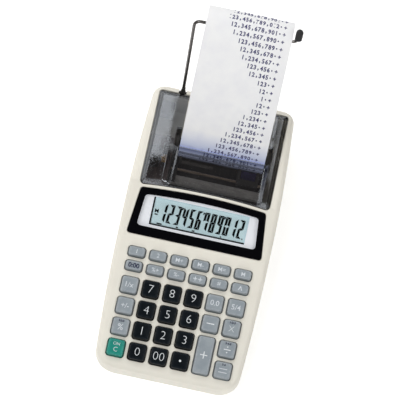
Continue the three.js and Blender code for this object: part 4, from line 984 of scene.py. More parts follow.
def dull(name, colour, rough, rub):
    """A moulding inside the machine: rubbed paler in streaks, with clouds of paper dust."""
    def tint(tap):
        """The streaks, with the dust over them."""
        streaks = clouded(colour, rub, 0.6, between=(0.4, 0.7), stretch=(0.2, 1, 1))
        dust = ramp(tap, speckle(tap, 0.35, 4.0), 0.5, 0.85) * 0.12
        return mixed(tap, dust, streaks(tap), tone(128, 124, 118))

    return finish(name, tint, uneven(1.0, 3.0, 0.2, rough), uneven(4.0), depth=0.02)


def drawn_metal(name, low, high, per_mm, rough):
    """Metal drawn through a die, with long faint streaks along it."""
    return finish(
        name, clouded(low, high, per_mm, stretch=(0.1, 1, 1)),
        uneven(0.8, 3.0, 0.2, rough), uneven(3.0, stretch=(0.05, 1, 1)), depth=0.004, Metallic=1.0,
    )


def blocks(spans, *limits):
    """A box for each pair of ends across the machine, all with the same other limits."""
    return together([box(start, end, *limits) for start, end in spans])


def bores(radius, spans, y, z):
    """Round holes across the machine, one for each pair of ends."""
    return together([turned([(start, radius), (end, radius)], 0, y, z, "x") for start, end in spans])


def extruded(profile, x0, x1):
    """A side view (along, up) carried straight across the machine."""
    ring = np.array(profile, float)
    return skin(np.stack([np.column_stack([np.full(len(ring), x), ring]) for x in (x0, x1)]))


def eased(made, width, angle=40.0):
    """Breaks a moulding's sharp edges with a small round."""
    round_off = made.modifiers.new("ease", "BEVEL")
    round_off.width, round_off.segments, round_off.angle_limit = width * 0.001, 2, np.radians(angle)
    settle(made)
    return smooth(made, 40.0)


nylon_black = dull("frame_nylon", tone(30, 27, 26), 0.5, tone(46, 42, 39))
rail_grey = dull("rail_grey", tone(146, 144, 142), 0.45, tone(166, 163, 159))
roller_y, roller_z, slide_y, slide_z = 56.79, 33.06, 40.8, 35.3
shaft_bore, slide_bore = 1.7, 1.1
frame_left, frame_right, frame_front, frame_rear, frame_low = -27.6, 38.0, 31, 67, 20.5
arch_radius, arch_back = 7.4, 3.0
arch_turn = np.linspace(0, np.pi, 25)
arch_y = roller_y + arch_back + arch_radius * np.cos(arch_turn)
arch_points = np.column_stack([arch_y, roller_z + arch_radius * np.sin(arch_turn)]).tolist()
plate_side = [[frame_front, frame_low], [frame_rear, frame_low], [frame_rear, roller_z - 1.8]]
plate_side += arch_points + [[44, 38], [slide_y, 38], [frame_front, 34]]


def frame_tint(tap):
    """Black nylon, dusty brown on the shelf left of the side plate."""
    across = tap.node("SeparateXYZ", 0, sockets={0: tap.node("TexCoord", 3)}) * 1000.0
    streaks = ramp(tap, speckle(tap, 0.6, 3.0, (1, 0.2, 1)), 0.4, 0.7)
    plate = mixed(tap, streaks, tone(30, 27, 26), tone(46, 42, 39))
    shelf = mixed(tap, streaks, tone(96, 80, 78), tone(126, 108, 104))
    return mixed(tap, ramp(tap, across, -26.5, -28.0), plate, shelf)


frame_nylon = finish("chassis_nylon", frame_tint, uneven(1.0, 3.0, 0.2, 0.5))
floor_ribs = [(x, x + 1.0) for x in np.linspace(-20, 30, 9)]
printer_frame = carved(
    "printer_frame",
    box(-42.3, frame_right, frame_front, frame_rear, frame_low, 22.3),
    joins=[
        together([extruded(plate_side, frame_left, -25.6), extruded(plate_side, 36, frame_right)]),
        blocks([(-26.6, -20.2), (33.3, 37)], 44, 49.4, 21.4, 38),
        box(-26.6, 37, 63.5, 65.2, 21.4, 30.0),
        blocks([(frame_left, -23.9), (35.2, frame_right)], 64.5, 69.8, frame_low, 37.2),
        blocks(floor_ribs, 32, 44.6, 21.4, 24.8),
        box(-41.6, -40.6, 42, 55.4, 21.4, 22.9),
    ],
    cuts=[
        bores(shaft_bore, [(-29.6, -23.6), (34, 40)], roller_y, roller_z),
        bores(slide_bore, [(-28.6, -22.6), (33, 39)], slide_y, slide_z),
        blocks([(-22.6, -21.6), (34.5, 35.1)], 43, 51, 30, 39),
    ],
)
fitted(eased(printer_frame, 0.3), "root", "black_plastic", frame_nylon, replaces=["printer_chassis"])
bearing_side = [[y, z] for y, z in arch_points[::-1] if y < frame_rear and z > 30]
bearing_side = [[44.2, 30]] + bearing_side + [[frame_rear, 30]]
for side, x0, x1 in (("left", -25.5, -24.1), ("right", 35.25, 35.9), ("outer", 38.1, 38.5)):
    hole = bores(shaft_bore, [(x0 - 1, x1 + 1)], roller_y, roller_z)
    bearing = carved("bearing_" + side, extruded(bearing_side, x0, x1), cuts=[hole])
    fitted(eased(bearing, 0.15), "root", "black_plastic", nylon_black)
groove = box(-23.6, -22.8, 30, 45, 36.6, 39)
side_rib = carved("paper_guide_left", box(-24.9, -21.5, 31.6, 43.8, 34.7, 37.6), cuts=[groove])
fitted(eased(side_rib, 0.25), "root", "black_plastic", nylon_black)
rail_notches = [(x, x + 0.7) for x in np.linspace(-22, 32, 19)]
rail = carved(
    "guide_rail",
    box(-25.3, 35.7, 31, 37, 31, 34.6),
    cuts=[blocks(rail_notches, 30, 32.2, 33.9, 36), box(4.6, 5.2, 30, 38, 34.2, 36)],
)
fitted(eased(rail, 0.3), "root", "black_plastic", rail_grey)
finger_slits = [(x, x + 0.6) for x in (-14, -8, -2)]
finger = carved(
    "paper_finger",
    box(-19.6, 1.4, 43.9, 46.0, 39.42, 39.72),
    cuts=[blocks(finger_slits, 45.2, 47, 39, 40)],
)
fitted(finger, "root", "steel", dull("blued_strip", tone(58, 54, 50), 0.4, tone(76, 70, 66)))

# Feed roller. A moulded rubber sleeve, ground to size with a fine lay round
# it, is pressed on a drawn steel shaft. A moulded gear on its left end meshes
# with the motor's brass pinion; the motor is a small steel can.

sleeve_rubber = finish(
    "roller_rubber",
    clouded(tone(34, 33, 33), tone(60, 58, 60), 0.5, between=(0.4, 0.7)),
    uneven(2.0, swing=0.15, base=0.65), uneven(5.0, stretch=(1, 0.2, 0.2)), depth=0.03,
)
sleeve_profile = [(-23.75, 5.2), (-23.45, 5.5), (34.65, 5.5), (34.95, 5.2)]
sleeve = turned(sleeve_profile, 0, roller_y, roller_z, "x", 64)
fitted(smooth(shape("feed_sleeve", sleeve)), "roller", "rubber", sleeve_rubber, replaces=["feed_roller"])
shaft_ends = [[(-33.3, 1.3), (-33.0, 1.6), (-23.8, 1.6)], [(35.0, 1.6), (38.3, 1.6), (38.6, 1.3)]]
shaft = together([turned(profile, 0, roller_y, roller_z, "x") for profile in shaft_ends])
steel_shaft = drawn_metal("drawn_steel", tone(150, 148, 145), tone(190, 188, 184), 1.5, 0.2)
fitted(smooth(shape("feed_shaft", shaft)), "roller", "steel", steel_shaft)
gear_nylon = finish(
    "gear_acetal",
    clouded(tone(66, 60, 55), tone(84, 78, 72), 0.9, between=(0.35, 0.7)),
    uneven(1.5, swing=0.15, base=0.35), uneven(3.0), depth=0.02,
)
dressed("feed_gear", gear_nylon)
dressed("motor_pinion", brass)
can_steel = finish(
    "motor_can",
    clouded(tone(44, 41, 39), tone(66, 62, 58), 0.5, 4.0, (0.35, 0.7), (0.3, 1, 1)),
    uneven(1.2, 3.0, 0.2, 0.3), uneven(2.5, stretch=(0.1, 1, 1)), depth=0.01, Metallic=1.0,
)
motor_y, motor_z = 48.724, 29.8
can_profile = [(-42, 6.3), (-41.85, 6.9), (-41.5, 7.2), (-35.0, 7.2), (-34.6, 7.05), (-34.3, 6.6)]
can = carved(
    "motor_can",
    turned(can_profile, 0, motor_y, motor_z, "x", 56),
    joins=[turned([(-36, 2.4), (-34.0, 2.4), (-33.8, 2.2)], 0, motor_y, motor_z, "x")],
    cuts=[
        bores(1.15, [(-36, -33)], motor_y, motor_z),
        together([box(-40.6, -37.4, y, y + 2.4, 35.6, 39) for y in (44.8, 50.2)]),
    ],
)
fitted(smooth(can), "root", "steel", can_steel, replaces=["drive_motor"])

# Print carriage. It slides on a coppery plated rod and holds the felt ink
# roller that inks the type from above.

copper_rod = drawn_metal("coppered_rod", tone(132, 119, 106), tone(180, 162, 144), 1.0, 0.25)
rod_profile = [(frame_left, 0.8), (frame_left + 0.2, 1.0), (frame_right - 0.2, 1.0), (frame_right, 0.8)]
rod = turned(rod_profile, 0, slide_y, slide_z, "x", 40)
fitted(smooth(shape("carriage_rod", rod)), "root", "steel", copper_rod, replaces=["guide_rod"])
ink_y, ink_z = 45.7, 36.1
comb = [(x, x + 0.5) for x in (20.5, 22.5, 24.5, 26.5, 28.5, 30.0)]
carriage = carved(
    "type_carriage",
    box(18.2, 32.8, 38.2, 49.2, 25, 38.4),
    cuts=[
        box(20.2, 30.8, 42.4, 50, 32.8, 40),
        box(21.0, 30.0, 37, 39.4, 27, 33.4),
        blocks(comb, 37.6, 39.0, 34, 39),
        bores(1.15, [(18, 33)], slide_y, slide_z),
        bores(1.0, [(19.0, 20.7), (30.6, 32.3)], ink_y, ink_z),
    ],
)
fitted(eased(carriage, 0.25), "carriage", "black_plastic", nylon_black, replaces=["print_carriage"])
felt = finish(
    "inked_felt", clouded(tone(20, 14, 52), tone(44, 34, 92), 1.5, 4.0, (0.35, 0.65)),
    0.85, uneven(6.0, 3.0), depth=0.08, strength=0.6,
)
roll_felt = turned([(20.5, 2.7), (20.8, 3.0), (30.2, 3.0), (30.5, 2.7)], 0, ink_y, ink_z, "x", 48)
fitted(smooth(shape("ink_felt_roll", roll_felt)), "ink", "ink_felt", felt, replaces=["ink_roller"])
pin_profile = np.array([(0, 0.7), (0.15, 0.85), (0.85, 0.85), (0.98, 0.7)])
ink_pins = [turned(pin_profile + [x, 0], 0, ink_y, ink_z, "x", 20) for x in (19.51, 30.51)]
fitted(smooth(shape("ink_core", together(ink_pins))), "ink", "ink_felt", nylon_black)

# Paper strip. Uncoated white paper comes in through the rear slot, runs half
# round the feed roller and out behind the tear bar, and curls over the wire
# arm. Its free end was torn off along the bar's teeth. A row of figures is
# printed in blue-violet at every line feed.

paper_left, paper_right = -23.15, 34.35
paper_half = 0.15
paper_offset = 5.5 + 0.3 + paper_half
incline = [
    (0, 73), (0.1, 60), (0.21, 50), (0.37, 43), (0.58, 36),
    (0.76, 31), (0.84, 24), (0.91, 8), (0.96, -14), (1, -34),
]
leave_y, leave_z = 51.1, 34.8
free_length, free_steps = 111.0, 240
tail_y, tail_z = 89.5, roller_z - paper_offset - 2.4


def free_path(steps):
    """Middle line of the free stretch: each short step heads along the incline read from the table."""
    share = (np.arange(steps) + 0.5) / steps
    angle = np.radians(np.interp(share, *np.array(incline, float).T))
    step = free_length / steps
    y = leave_y + np.concatenate([[0], np.cumsum(step * np.cos(angle))])
    z = leave_z + np.concatenate([[0], np.cumsum(step * np.sin(angle))])
    return np.column_stack([y, z, np.concatenate([[np.radians(incline[0][1])], angle])])


free = free_path(free_steps)
tail_angle = np.arctan2(roller_z - paper_offset - tail_z, roller_y - tail_y)
heading = np.linspace(tail_angle, np.radians(incline[0][1]), 60)[:-1]
wrap = np.column_stack(
    [roller_y - paper_offset * np.sin(heading), roller_z + paper_offset * np.cos(heading), heading]
)
tail = np.linspace((tail_y, tail_z, tail_angle), (*wrap[0, :2], tail_angle), 12)[:-1]
paper_line = np.concatenate([tail, wrap, free])
columns_across, torn_teeth, torn_depth = 116, 28.75, 0.35
torn_edge = torn_depth * np.abs(((np.linspace(0, torn_teeth, columns_across) % 1.0) - 0.5) * 2)
columns_x = np.linspace(paper_left, paper_right, columns_across)


def paper_rings(line, side):
    """One face of the strip: rows of points across it, the last row drawn back along the torn teeth."""
    out = []
    for k, (y, z, angle) in enumerate(line):
        back = torn_edge if k == len(line) - 1 else np.zeros(columns_across)
        py = y - back * np.cos(angle) - side * paper_half * np.sin(angle)
        pz = z - back * np.sin(angle) + side * paper_half * np.cos(angle)
        out.append(np.column_stack([columns_x, py, pz]))
    return np.stack(out)


top_face, under_face = paper_rings(paper_line, 1), paper_rings(paper_line, -1)
strip_solid = skin(np.concatenate([top_face, under_face[:, ::-1]], axis=1))


def millimetres_up(tap):
    """A place's height in the case's frame."""
    return tap.node("SeparateXYZ", 2, sockets={0: tap.node("TexCoord", 3)}) * 1000.0


def paper_colour_and_shade(tap):
    """White, with painted shade on the upper face where the strip leaves the printer: bluish above, darker
    blue-grey lower down.
    """
    clouds = clouded(tone(235, 235, 237), tone(240, 240, 240), 0.12, between=(0.35, 0.65))(tap)
    height = millimetres_up(tap) + speckle(tap, 0.15, 2.0) * 3.0
    face = tap.node("Attribute", 2, attribute_name="printed")
    painted_blue_shade = mixed(tap, ramp(tap, height, 57.0, 46.0) * face, clouds, tone(196, 204, 230))
    return mixed(tap, ramp(tap, height, 46.5, 43.5) * face, painted_blue_shade, tone(140, 147, 176))


def paper_painted_glow(tap):
    """Painted glow: an emitted tint on the upper face where the smoky cover shades it, in place of light
    through the sheet.
    """
    height, dark = millimetres_up(tap), tone(0, 0, 0)
    lit = mixed(tap, ramp(tap, height, 44.6, 43.4), dark, tone(84, 94, 134))
    lower = mixed(tap, ramp(tap, height, 41.8, 39.6), lit, tone(160, 168, 196))
    front = mixed(tap, ramp(tap, height, 38.0, 33.5), lower, dark)
    return mixed(tap, tap.node("Attribute", 2, attribute_name="printed"), dark, front)


# The paper's emission is a painted glow, not a lamp.
paper_white = finish(
    "uncoated_paper", paper_colour_and_shade, uneven(1.0, swing=0.1, base=0.8), uneven(3.0, 4.0), depth=0.012,
    varying={"Emission Color": paper_painted_glow}, Emission_Strength=1.0,
)
strip = smooth(shape("paper_web", strip_solid), 40)
# The upper face alone takes the painted shade and the painted glow.
printed = strip.data.attributes.new("printed", "FLOAT", "POINT")
faces_up = np.tile(np.repeat([1.0, 0.0], columns_across), len(paper_line))
printed.data.foreach_set("value", faces_up.astype(np.float32))
fitted(strip, "root", "paper", paper_white, replaces=["paper_strip"])

print_tint = clouded(tone(44, 44, 90), tone(74, 74, 118), 2.5, between=(0.3, 0.7))
print_ink = finish("print_violet", print_tint, 0.8)
glyph_height, small_glyphs = 3.1, {",": 1.6, ".": 1.05, "+": 2.1}
glyphs = {
    symbol: letters("glyph", symbol, small_glyphs.get(symbol, glyph_height), None, 0.035)
    for symbol in "0123456789,.+"
}
low_at = {",": -1.1, ".": 0.0, "+": 0.0}
row_counts = [12, 11, 10, 9, 8, 7, 6, 5, 4, 3, 2, 1, 2, 3, 5, 6, 7, 8, 9, 10, 11, 12, 11]
glyph_pitch, row_pitch, point_x, sign_x = 2.26, 4.95, 25.5, 28.4
free_arc = np.linspace(0, free_length, free_steps + 1)


def printed_row(count, row):
    """A row of figures ending in a point and a sign, right-aligned, laid on the strip's upper face."""
    digits = "123456789012"[:count]
    text = ""
    for k, symbol in enumerate(digits):
        text += symbol
        left = count - 1 - k
        if left and left % 3 == 0:
            text += ","
    places = [(symbol, point_x - glyph_pitch * (k + 1)) for k, symbol in enumerate(reversed(text))]
    places += [(".", point_x), ("+", sign_x)]
    parts = []
    for symbol, at in places:
        flat, faces = glyphs[symbol]
        along = 1.0 + row_pitch * row + flat[:, 1] + low_at.get(symbol, 0.0)
        y = np.interp(along, free_arc, free[:, 0])
        z = np.interp(along, free_arc, free[:, 1])
        angle = np.interp(along, free_arc, free[:, 2])
        off = paper_half + 0.03 + 0.02 * flat[:, 2]
        points = np.column_stack([flat[:, 0] * 0.92 + at, y - off * np.sin(angle), z + off * np.cos(angle)])
        parts.append((points, faces))
    return together(parts)


rows = [printed_row(count, row) for row, count in enumerate(row_counts)]
fitted(shape("paper_print", together(rows)), "root", "paper", print_ink)

# Cover. One clear moulding in smoke-tinted acrylic: a sloped nose, two arms
# beside the paper with raised flat tops, and a lower middle over the mechanism.
# A lip in it holds the tear strip, and a pin at the end of each arm is its hinge.

cover_skirt, cover_top, valley, cover_wall = 37.9, 43.6, 41.6, 1.6
notch_left, notch_right, notch_corner = -23.8, 35.1, 1.2
pin_y, pin_z = 87.3, 39.5
through = (30, 50)
bar_z, bar_gap = 44.3, 1.3
bar_step = free[free[:, 1] >= bar_z][0]
bar_paper_y = bar_step[0] - (bar_step[1] - bar_z) / np.tan(bar_step[2])
bar_angle = np.arctan2(bar_z - leave_z, bar_paper_y - leave_y)
bar_y = bar_paper_y - bar_gap / np.sin(bar_angle)
plate_drop = bar_z - valley + cover_wall
notch_front = bar_y - plate_drop / np.tan(bar_angle) - 0.8


def softened(first, second, reach, sign=1):
    """The lower of two heights (the higher for sign -1), their crease rounded over the reach."""
    first, second = first * sign, second * sign
    near = np.clip(reach - np.abs(first - second), 0, None) / reach
    return sign * (np.minimum(first, second) - near**2 * reach / 4)


def cover_height(x, y, drop):
    """Top of the cover: raised arms with chamfered sides, the lower middle, and the sloping nose."""
    arms = np.maximum(
        cover_top - np.clip(x - (notch_left - 6.6), 0, None) / 3.3,
        cover_top - np.clip(notch_right + 2.2 - x, 0, None) / 1.1,
    )
    across = softened(softened(arms, valley, 0.35, -1), cover_top, 0.2)
    side = cover_top - 2.4 + (cover_half - np.abs(x)) * 2.4 / 2.8
    across = softened(across, side, 0.35)
    nose = cover_top - 2.6 + (y - cover_front(x)) * 2.6 / 3.6
    return softened(across, nose, 0.35) - drop


def cover_solid(drop):
    """Outer form of the cover, or its hollow for a drop of the wall: side views from left to right."""
    half = cover_half - drop
    edge = 1 - np.cos(np.linspace(0, np.pi / 2, 9))
    creases = [np.linspace(at - 0.7, at + 0.7, 9) for at in (-40.6, -30.4, -23.8, 35.1, 37.3, 40.6)]
    ends = [-half + cover_corner * edge, half - cover_corner * edge]
    x = np.sort(np.concatenate([*ends, np.linspace(-half + 3, half - 3, 30), *creases]))
    x = x[np.insert(np.diff(x) > 0.04, 0, True)]
    share = np.concatenate([np.linspace(0, 0.085, 24), np.linspace(0.1, 1, 26)])
    bend = np.radians(np.linspace(8, 112, 14))
    radius = cover_top - drop - pin_z
    foot = cover_skirt - (1.5 if drop else 0)
    rings = []
    for at in x:
        front = cover_front(at) + drop
        y = front + (pin_y - front) * share
        z = cover_height(np.full_like(y, at), y - drop, drop)
        rear_y = pin_y + radius * np.sin(bend)
        rear_z = np.minimum(pin_z + radius * np.cos(bend), z[-1] - (1 - np.cos(bend)) * 0.2)
        ring_y = np.concatenate([[front, front], y[1:], rear_y, [rear_y[-1]]])
        ring_z = np.concatenate([[foot, z[0]], z[1:], rear_z, [min(foot, rear_z[-1] - 0.05)]])
        rings.append(np.column_stack([np.full(len(ring_y), at), ring_y, ring_z]))
    return skin(np.stack(rings))


def bar_frame(points):
    """From the tear bar's frame (across, up along the bar, off it to the front) to the case's."""
    x, up, off = points[..., 0], points[..., 1], points[..., 2]
    y = bar_y + up * np.cos(bar_angle) - off * np.sin(bar_angle)
    return np.stack([x, y, bar_z + up * np.sin(bar_angle) + off * np.cos(bar_angle)], -1)


def notch_shape():
    """The paper's opening: square at the rear, its front corners rounded a little."""
    turn = np.linspace(0, np.pi / 2, 6)
    left, right = notch_left + notch_corner, notch_right - notch_corner
    round_x, round_y = notch_corner * np.cos(turn), notch_corner * np.sin(turn)
    first = np.column_stack([left - round_x, notch_front + notch_corner - round_y])
    second = np.column_stack([right + round_y, notch_front + notch_corner - round_x])
    return np.concatenate([[[notch_left, 97]], first, second, [[notch_right, 97]]])


finger_slots, beside = [], 0.7
for x in (notch_left - beside, notch_right + beside):
    slot_plan = round_plan(5.4, 12.4, 1.7, 8) + [x, bar_y + 6.6]
    finger_slots.append(stacked([slot_plan, slot_plan], through))
lip_low, lip_high = -6.5, (0.8 - plate_drop) / np.sin(bar_angle)
lip_points, lip_faces = box(notch_left, notch_right, lip_low, lip_high, 0.55, 1.95)
knob = [round_plan(wide, wide, corner, 4) + [-38.5, 85.5] for wide, corner in ((2.4, 0.4), (2.1, 0.3))]
pin_profiles = [[(-44.9, 0.9), (-44.7, 1.1), (-41.6, 1.1)], [(41.6, 1.1), (44.7, 1.1), (44.9, 0.9)]]
pins = together([turned(profile, 0, pin_y, pin_z, "x") for profile in pin_profiles])
cover = carved(
    "smoky_cover",
    cover_solid(0),
    cuts=[
        cover_solid(cover_wall),
        stacked([notch_shape()] * 2, through),
        together(finger_slots),
    ],
)
worked(cover, joins=[(bar_frame(lip_points), lip_faces), pins, stacked(knob, [43.0, cover_top])])


def smoked(name, tint, edge):
    """Smoke-tinted acrylic: see-through by the tint, denser where it is seen aslant, faintly smeared."""
    return finish(
        name,
        clouded(tone(22, 16, 14), tone(30, 25, 24), 0.1, 2.0),
        lambda tap: ramp(tap, speckle(tap, 0.16, 4.0, (1, 0.35, 1)), 0.45, 0.75) * 0.06 + 0.04,
        uneven(0.35), depth=0.015, strength=0.4,
        varying={"Alpha": lambda tap: tap.node("Fresnel", sockets={"IOR": 1.5}) * edge + tint},
        IOR=3.0, Specular_Tint=(0.88, 0.93, 1.0, 1.0),
    )


def inside_cover(x, y, z):
    """Whether a place lies on the hollow's faces and not on the outer ones."""
    below = z < cover_height(x, np.minimum(y, pin_y), 0) - 0.8
    within = (np.abs(x) < cover_half - 0.8) & (y > cover_front(x) + 0.8)
    lip = (x > notch_left - 0.1) & (x < notch_right + 0.1) & (y > notch_front - 3) & (z < valley - 0.1)
    return lip | below & within & ((y < pin_y) | (np.hypot(y - pin_y, z - pin_z) < 3.3))


smoky, smoky_inner = smoked("smoky_acrylic", 0.4, 0.9), smoked("smoky_acrylic_inside", 0.05, 0.3)
fitted(smooth(cover, 24), "cover", "smoky_plastic", smoky, smoky_inner, replaces=["printer_cover"])
middles = np.array([face.center for face in cover.data.polygons]) * 1000 - [0, case_middle * 1000, 0]
cover.data.polygons.foreach_set("material_index", inside_cover(*middles.T).astype(int))

# Tear strip. The saw-toothed edge that the paper is torn on is a strip of the
# same tinted acrylic, thin enough to see the printed rows through. Its teeth
# are ground, so they look frosted.

strip_left, strip_right = notch_left + 0.6, notch_right - 0.6
shoulder, foot_up, strip_foot = 2.3, -5.1, -6.5
tooth_pitch, tooth_depth = 2.0, 0.55
edge_points = 2 * int(round((strip_right - strip_left) / tooth_pitch)) + 1
edge_x = np.linspace(strip_left, strip_right, edge_points)
edge_up = np.where(np.arange(edge_points) % 2 == 0, -tooth_depth, 0.0)
saw = np.column_stack([edge_x, edge_up])
foot_out = strip_right + shoulder, strip_left - shoulder
foot_right = [[strip_right, foot_up], [foot_out[0], foot_up], [foot_out[0], strip_foot]]
foot_left = [[foot_out[1], strip_foot], [foot_out[1], foot_up], [strip_left, foot_up]]
strip_plan = np.concatenate([saw, foot_right, foot_left])
ground_away, strip_half = 0.12, 0.25
saw_thin = strip_plan.copy()
saw_thin[: len(saw), 1] -= ground_away
layers = [(saw_thin, -strip_half), (strip_plan, -0.1), (strip_plan, 0.1), (saw_thin, strip_half)]
rings = np.stack([np.column_stack([plan, np.full(len(plan), off)]) for plan, off in layers])
strip_points, strip_faces = skin(rings)
tear_strip = shape("tear_strip", (bar_frame(strip_points), strip_faces))
height_up = tear_strip.data.attributes.new("up_the_strip", "FLOAT", "POINT")
height_up.data.foreach_set("value", strip_points[:, 1].astype(np.float32))


def frosted(tap):
    """How far a place lies into the ground teeth."""
    return ramp(tap, tap.node("Attribute", 2, attribute_name="up_the_strip"), -1.0, -0.6)


def ground_tint(tap):
    """Nearly colourless below, chalky where the teeth are ground."""
    chalk = clouded(tone(136, 142, 158), tone(170, 176, 188), 1.2, 2.0)
    return mixed(tap, frosted(tap), tone(24, 27, 34), chalk(tap))


tear_acrylic = finish(
    "ground_acrylic", ground_tint, lambda tap: frosted(tap) * 0.35 + 0.15, uneven(4.0, 3.0), depth=0.01,
    varying={"Alpha": lambda tap: frosted(tap) * 0.4 + 0.33}, Specular_Tint=(0.92, 0.95, 1.0, 1.0),
)
fitted(tear_strip, "cover", "smoky_plastic", tear_acrylic, replaces=["tear_bar"])
# Paper arm. One nickel-plated wire: up beside the paper on the left, across
# under it, and up again into a rubber cap. Its lower end is moulded into a
# black cone with a cross barrel that turns between two ears.

arm_y, arm_z, arm_right = 93.6, 38.7, 38.0
wire_radius, wire_gap = 1.1, 0.3
rod_station = free[int(round(0.875 * free_steps))]
rod_under = wire_radius + paper_half + wire_gap
rod_y = rod_station[0] + rod_under * np.sin(rod_station[2])
rod_z = rod_station[1] - rod_under * np.cos(rod_station[2])
reach = np.hypot(rod_y - arm_y, rod_z - arm_z)
arm_angle = np.arctan2(rod_z - arm_z, rod_y - arm_y)
cap_start = reach + 2.6
wire_corners = [(arm_x, 2.6), (-30.4, reach), (arm_right, reach), (arm_right, cap_start + 4.6)]


def on_arm(solid):
    """From the arm's own frame (across, along it, off it) to the case's."""
    points, faces = solid
    return slope_to_case(points, arm_y, arm_z, arm_angle), faces


def rounded_line(corners, radii, steps=10):
    """Points along a bent line, each inner corner replaced by an arc of its radius."""
    corners = [np.array(corner, float) for corner in corners]
    out = [corners[0]]
    for before, corner, after, radius in zip(corners, corners[1:], corners[2:], radii):
        inward = (before - corner) / np.linalg.norm(before - corner)
        onward = (after - corner) / np.linalg.norm(after - corner)
        half = np.arccos(np.clip(inward @ onward, -1, 1)) / 2
        middle = corner + (inward + onward) / np.linalg.norm(inward + onward) * radius / np.sin(half)
        first, last = corner + inward * radius / np.tan(half), corner + onward * radius / np.tan(half)
        start = np.arctan2(*(first - middle)[::-1])
        sweep = (np.arctan2(*(last - middle)[::-1]) - start + np.pi) % (2 * np.pi) - np.pi
        angle = start + sweep * np.linspace(0, 1, steps)
        out.extend(middle + radius * np.column_stack([np.cos(angle), np.sin(angle)]))
    out.append(corners[-1])
    return np.array(out)


def wire_along(line, radius, around=20):
    """A round wire along a line that lies in the arm's plane, its cut ends a little rounded."""
    way = np.gradient(line, axis=0)
    way /= np.linalg.norm(way, axis=1)[:, None]
    side = np.column_stack([-way[:, 1], way[:, 0]])
    angle = np.linspace(0, 2 * np.pi, around, endpoint=False)
    rings = []
    for place, across in zip(line, side):
        flat = place + radius * np.cos(angle)[:, None] * across
        rings.append(np.column_stack([flat, radius * np.sin(angle)]))
    for end, inner in ((0, 1), (-1, -2)):
        tip = rings[end].copy()
        middle = np.append(line[end], 0)
        tip_small = middle + (tip - middle) * 0.7
        out = (line[end] - line[inner]) / np.linalg.norm(line[end] - line[inner])
        tip_small[:, :2] += out * 0.25
        rings.insert(0, tip_small) if end == 0 else rings.append(tip_small)
    return skin(np.stack(rings))


bright_wire = finish(
    "nickel_plate", clouded(tone(84, 82, 82), tone(116, 113, 110), 0.6, between=(0.3, 0.7)),
    uneven(0.9, 3.0, 0.12, 0.1), uneven(1.6, 3.0), depth=0.01, Metallic=1.0,
)
wire = on_arm(wire_along(rounded_line(wire_corners, [4.0, 4.0]), wire_radius))
fitted(smooth(shape("arm_wire", wire), 50), "arm", "bright_wire", bright_wire, replaces=["paper_arm"])
cone_profile = [(-2.2, 1.2), (-1.6, 1.5), (1.2, 1.5), (2.0, 1.45), (4.6, 1.3), (5.0, 1.15)]
cone = turned(cone_profile, arm_x, 0, 0, "y", 40)
barrel = turned([(-1.7, 1.6), (-1.5, 1.8), (1.5, 1.8), (1.7, 1.6)], arm_x, 0, 0, "x", 40)
axle = turned([(-3.8, 0.7), (-3.6, 0.9), (3.6, 0.9), (3.8, 0.7)], arm_x, 0, 0, "x", 24)
arm_black = dull("arm_nylon", tone(24, 23, 22), 0.4, tone(40, 38, 36))
hub = carved("arm_cone", on_arm(cone), joins=[on_arm(barrel), on_arm(axle)])
fitted(smooth(hub, 30), "arm", "black_plastic", arm_black, replaces=["arm_hub"])
cap_profile = [(0, 2.1), (0.3, 2.4), (6.0, 2.4)]
cap_profile += [(6.0 + 2.35 * np.sin(a), 2.4 * np.cos(a)) for a in np.radians([15, 30, 45, 60, 72, 82])]
end_cap = turned(np.array(cap_profile) + [cap_start, 0], arm_right, 0, 0, "y", 40)
fitted(smooth(shape("arm_cap", on_arm(end_cap)), 40), "arm", "rubber", rubber, replaces=["arm_end_cap"])

# Studio. A pale lit sheet runs under the machine. Three soft boxes hang above
# and behind it, two lamps shine straight down, and wide fills stand round it. The
# camera looks down steeply along a long lens, rolled as the photograph is.

reach_out = 3
floor_mesh = bpy.data.meshes.new("floor")
floor_corners = [(x * reach_out, y * reach_out, 0) for x, y in ((-1, -1), (1, -1), (1, 1), (-1, 1))]
floor_mesh.from_pydata(floor_corners, [], [(0, 1, 2, 3)])
floor = bpy.data.objects.new("floor", floor_mesh)
bpy.context.scene.collection.objects.link(floor)
pale_sheet = finish(
    "pale_sheet", clouded(tone(246, 246, 246), tone(250, 250, 250), 0.02, 2.0), 0.9,
    Emission_Color=(1, 1, 1, 1), Emission_Strength=0.35,
)
floor_mesh.materials.append(pale_sheet)

world = bpy.data.worlds.new("studio")
bpy.context.scene.world = world
world.use_nodes = True
sky = world.node_tree.nodes["Background"]
sky.inputs[0].default_value = (1, 1, 1, 1)
sky.inputs[1].default_value = 0.07
bpy.context.scene.view_settings.view_transform = "Standard"


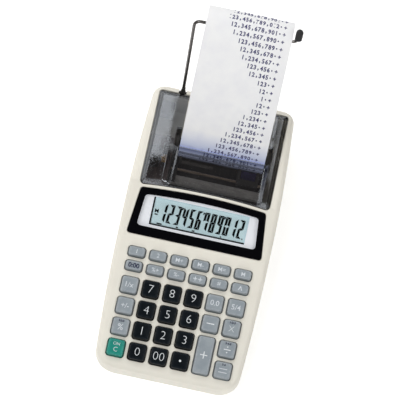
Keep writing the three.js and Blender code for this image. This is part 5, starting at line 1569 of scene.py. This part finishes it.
def lamp(name, place, target, size, glow):
    """A rectangular soft box that faces its target and shines as brightly as so many white sheets."""
    light = bpy.data.lights.new(name, "AREA")
    light.shape = "RECTANGLE"
    light.size, light.size_y = size
    light.energy = glow * np.pi * size[0] * size[1]
    holder = bpy.data.objects.new(name, light)
    holder.location = place
    holder.rotation_euler = (Vector(target) - Vector(place)).to_track_quat("-Z", "Y").to_euler()
    bpy.context.scene.collection.objects.link(holder)
    return light


for name, x, y, size, glow in (
    ("soft_box", -0.377, 0.5835, (0.67, 0.585), 3.0),
    ("right_box", 0.22, 0.511, (0.33, 0.44), 1.5),
    ("far_box", 0.5, 0.541, (0.23, 0.38), 0.95),
):
    lamp(name, (x, y, 0.75), (x, y, 0), size, glow)
lamp("left_fill", (-0.88, 0.3, 0.28), (0, 0.02, 0.03), (0.7, 0.52), 1.3)
lamp("right_fill", (0.8, -0.1, 0.36), (0, 0.02, 0.03), (0.5, 0.4), 0.95)
lamp("rear_fill", (-0.2, 1.0, 0.4), (0, 0.05, 0.03), (1.2, 0.4), 1.2)
lamp("top_left", (-0.47, -0.22, 0.92), (0, 0, 0.03), (0.45, 0.45), 4.9)
lamp("top_right", (0.5, -0.2, 0.9), (0, 0, 0.03), (0.4, 0.4), 4.9)
lamp("nose_fill", (-0.05, -0.72, 0.74), (0, 0, 0.03), (0.9, 0.3), 0.34)
lamp("front_fill", (-0.05, -0.87, 0.49), (0, 0, 0.03), (0.9, 0.4), 2.0)

roll, rise, away = np.radians(12.25), np.radians(70.0), 2.0
back = Vector((0, -np.cos(rise), np.sin(rise)))
level = Vector((0, np.sin(rise), np.cos(rise)))
right = np.cos(roll) * Vector((1, 0, 0)) + np.sin(roll) * level
up = -np.sin(roll) * Vector((1, 0, 0)) + np.cos(roll) * level
aim = Vector((-0.0024, 0.023 + case_middle, 0.0352))
lens = bpy.data.cameras.new("camera")
film_width, view_width = 36, 0.4 / 1.515
lens.sensor_width = film_width
lens.lens = film_width * away / view_width
camera = bpy.data.objects.new("camera", lens)
bpy.context.scene.collection.objects.link(camera)
turn = Matrix((right, up, back)).transposed().to_4x4()
turn.translation = aim + away * back
camera.matrix_world = turn
bpy.context.scene.camera = camera
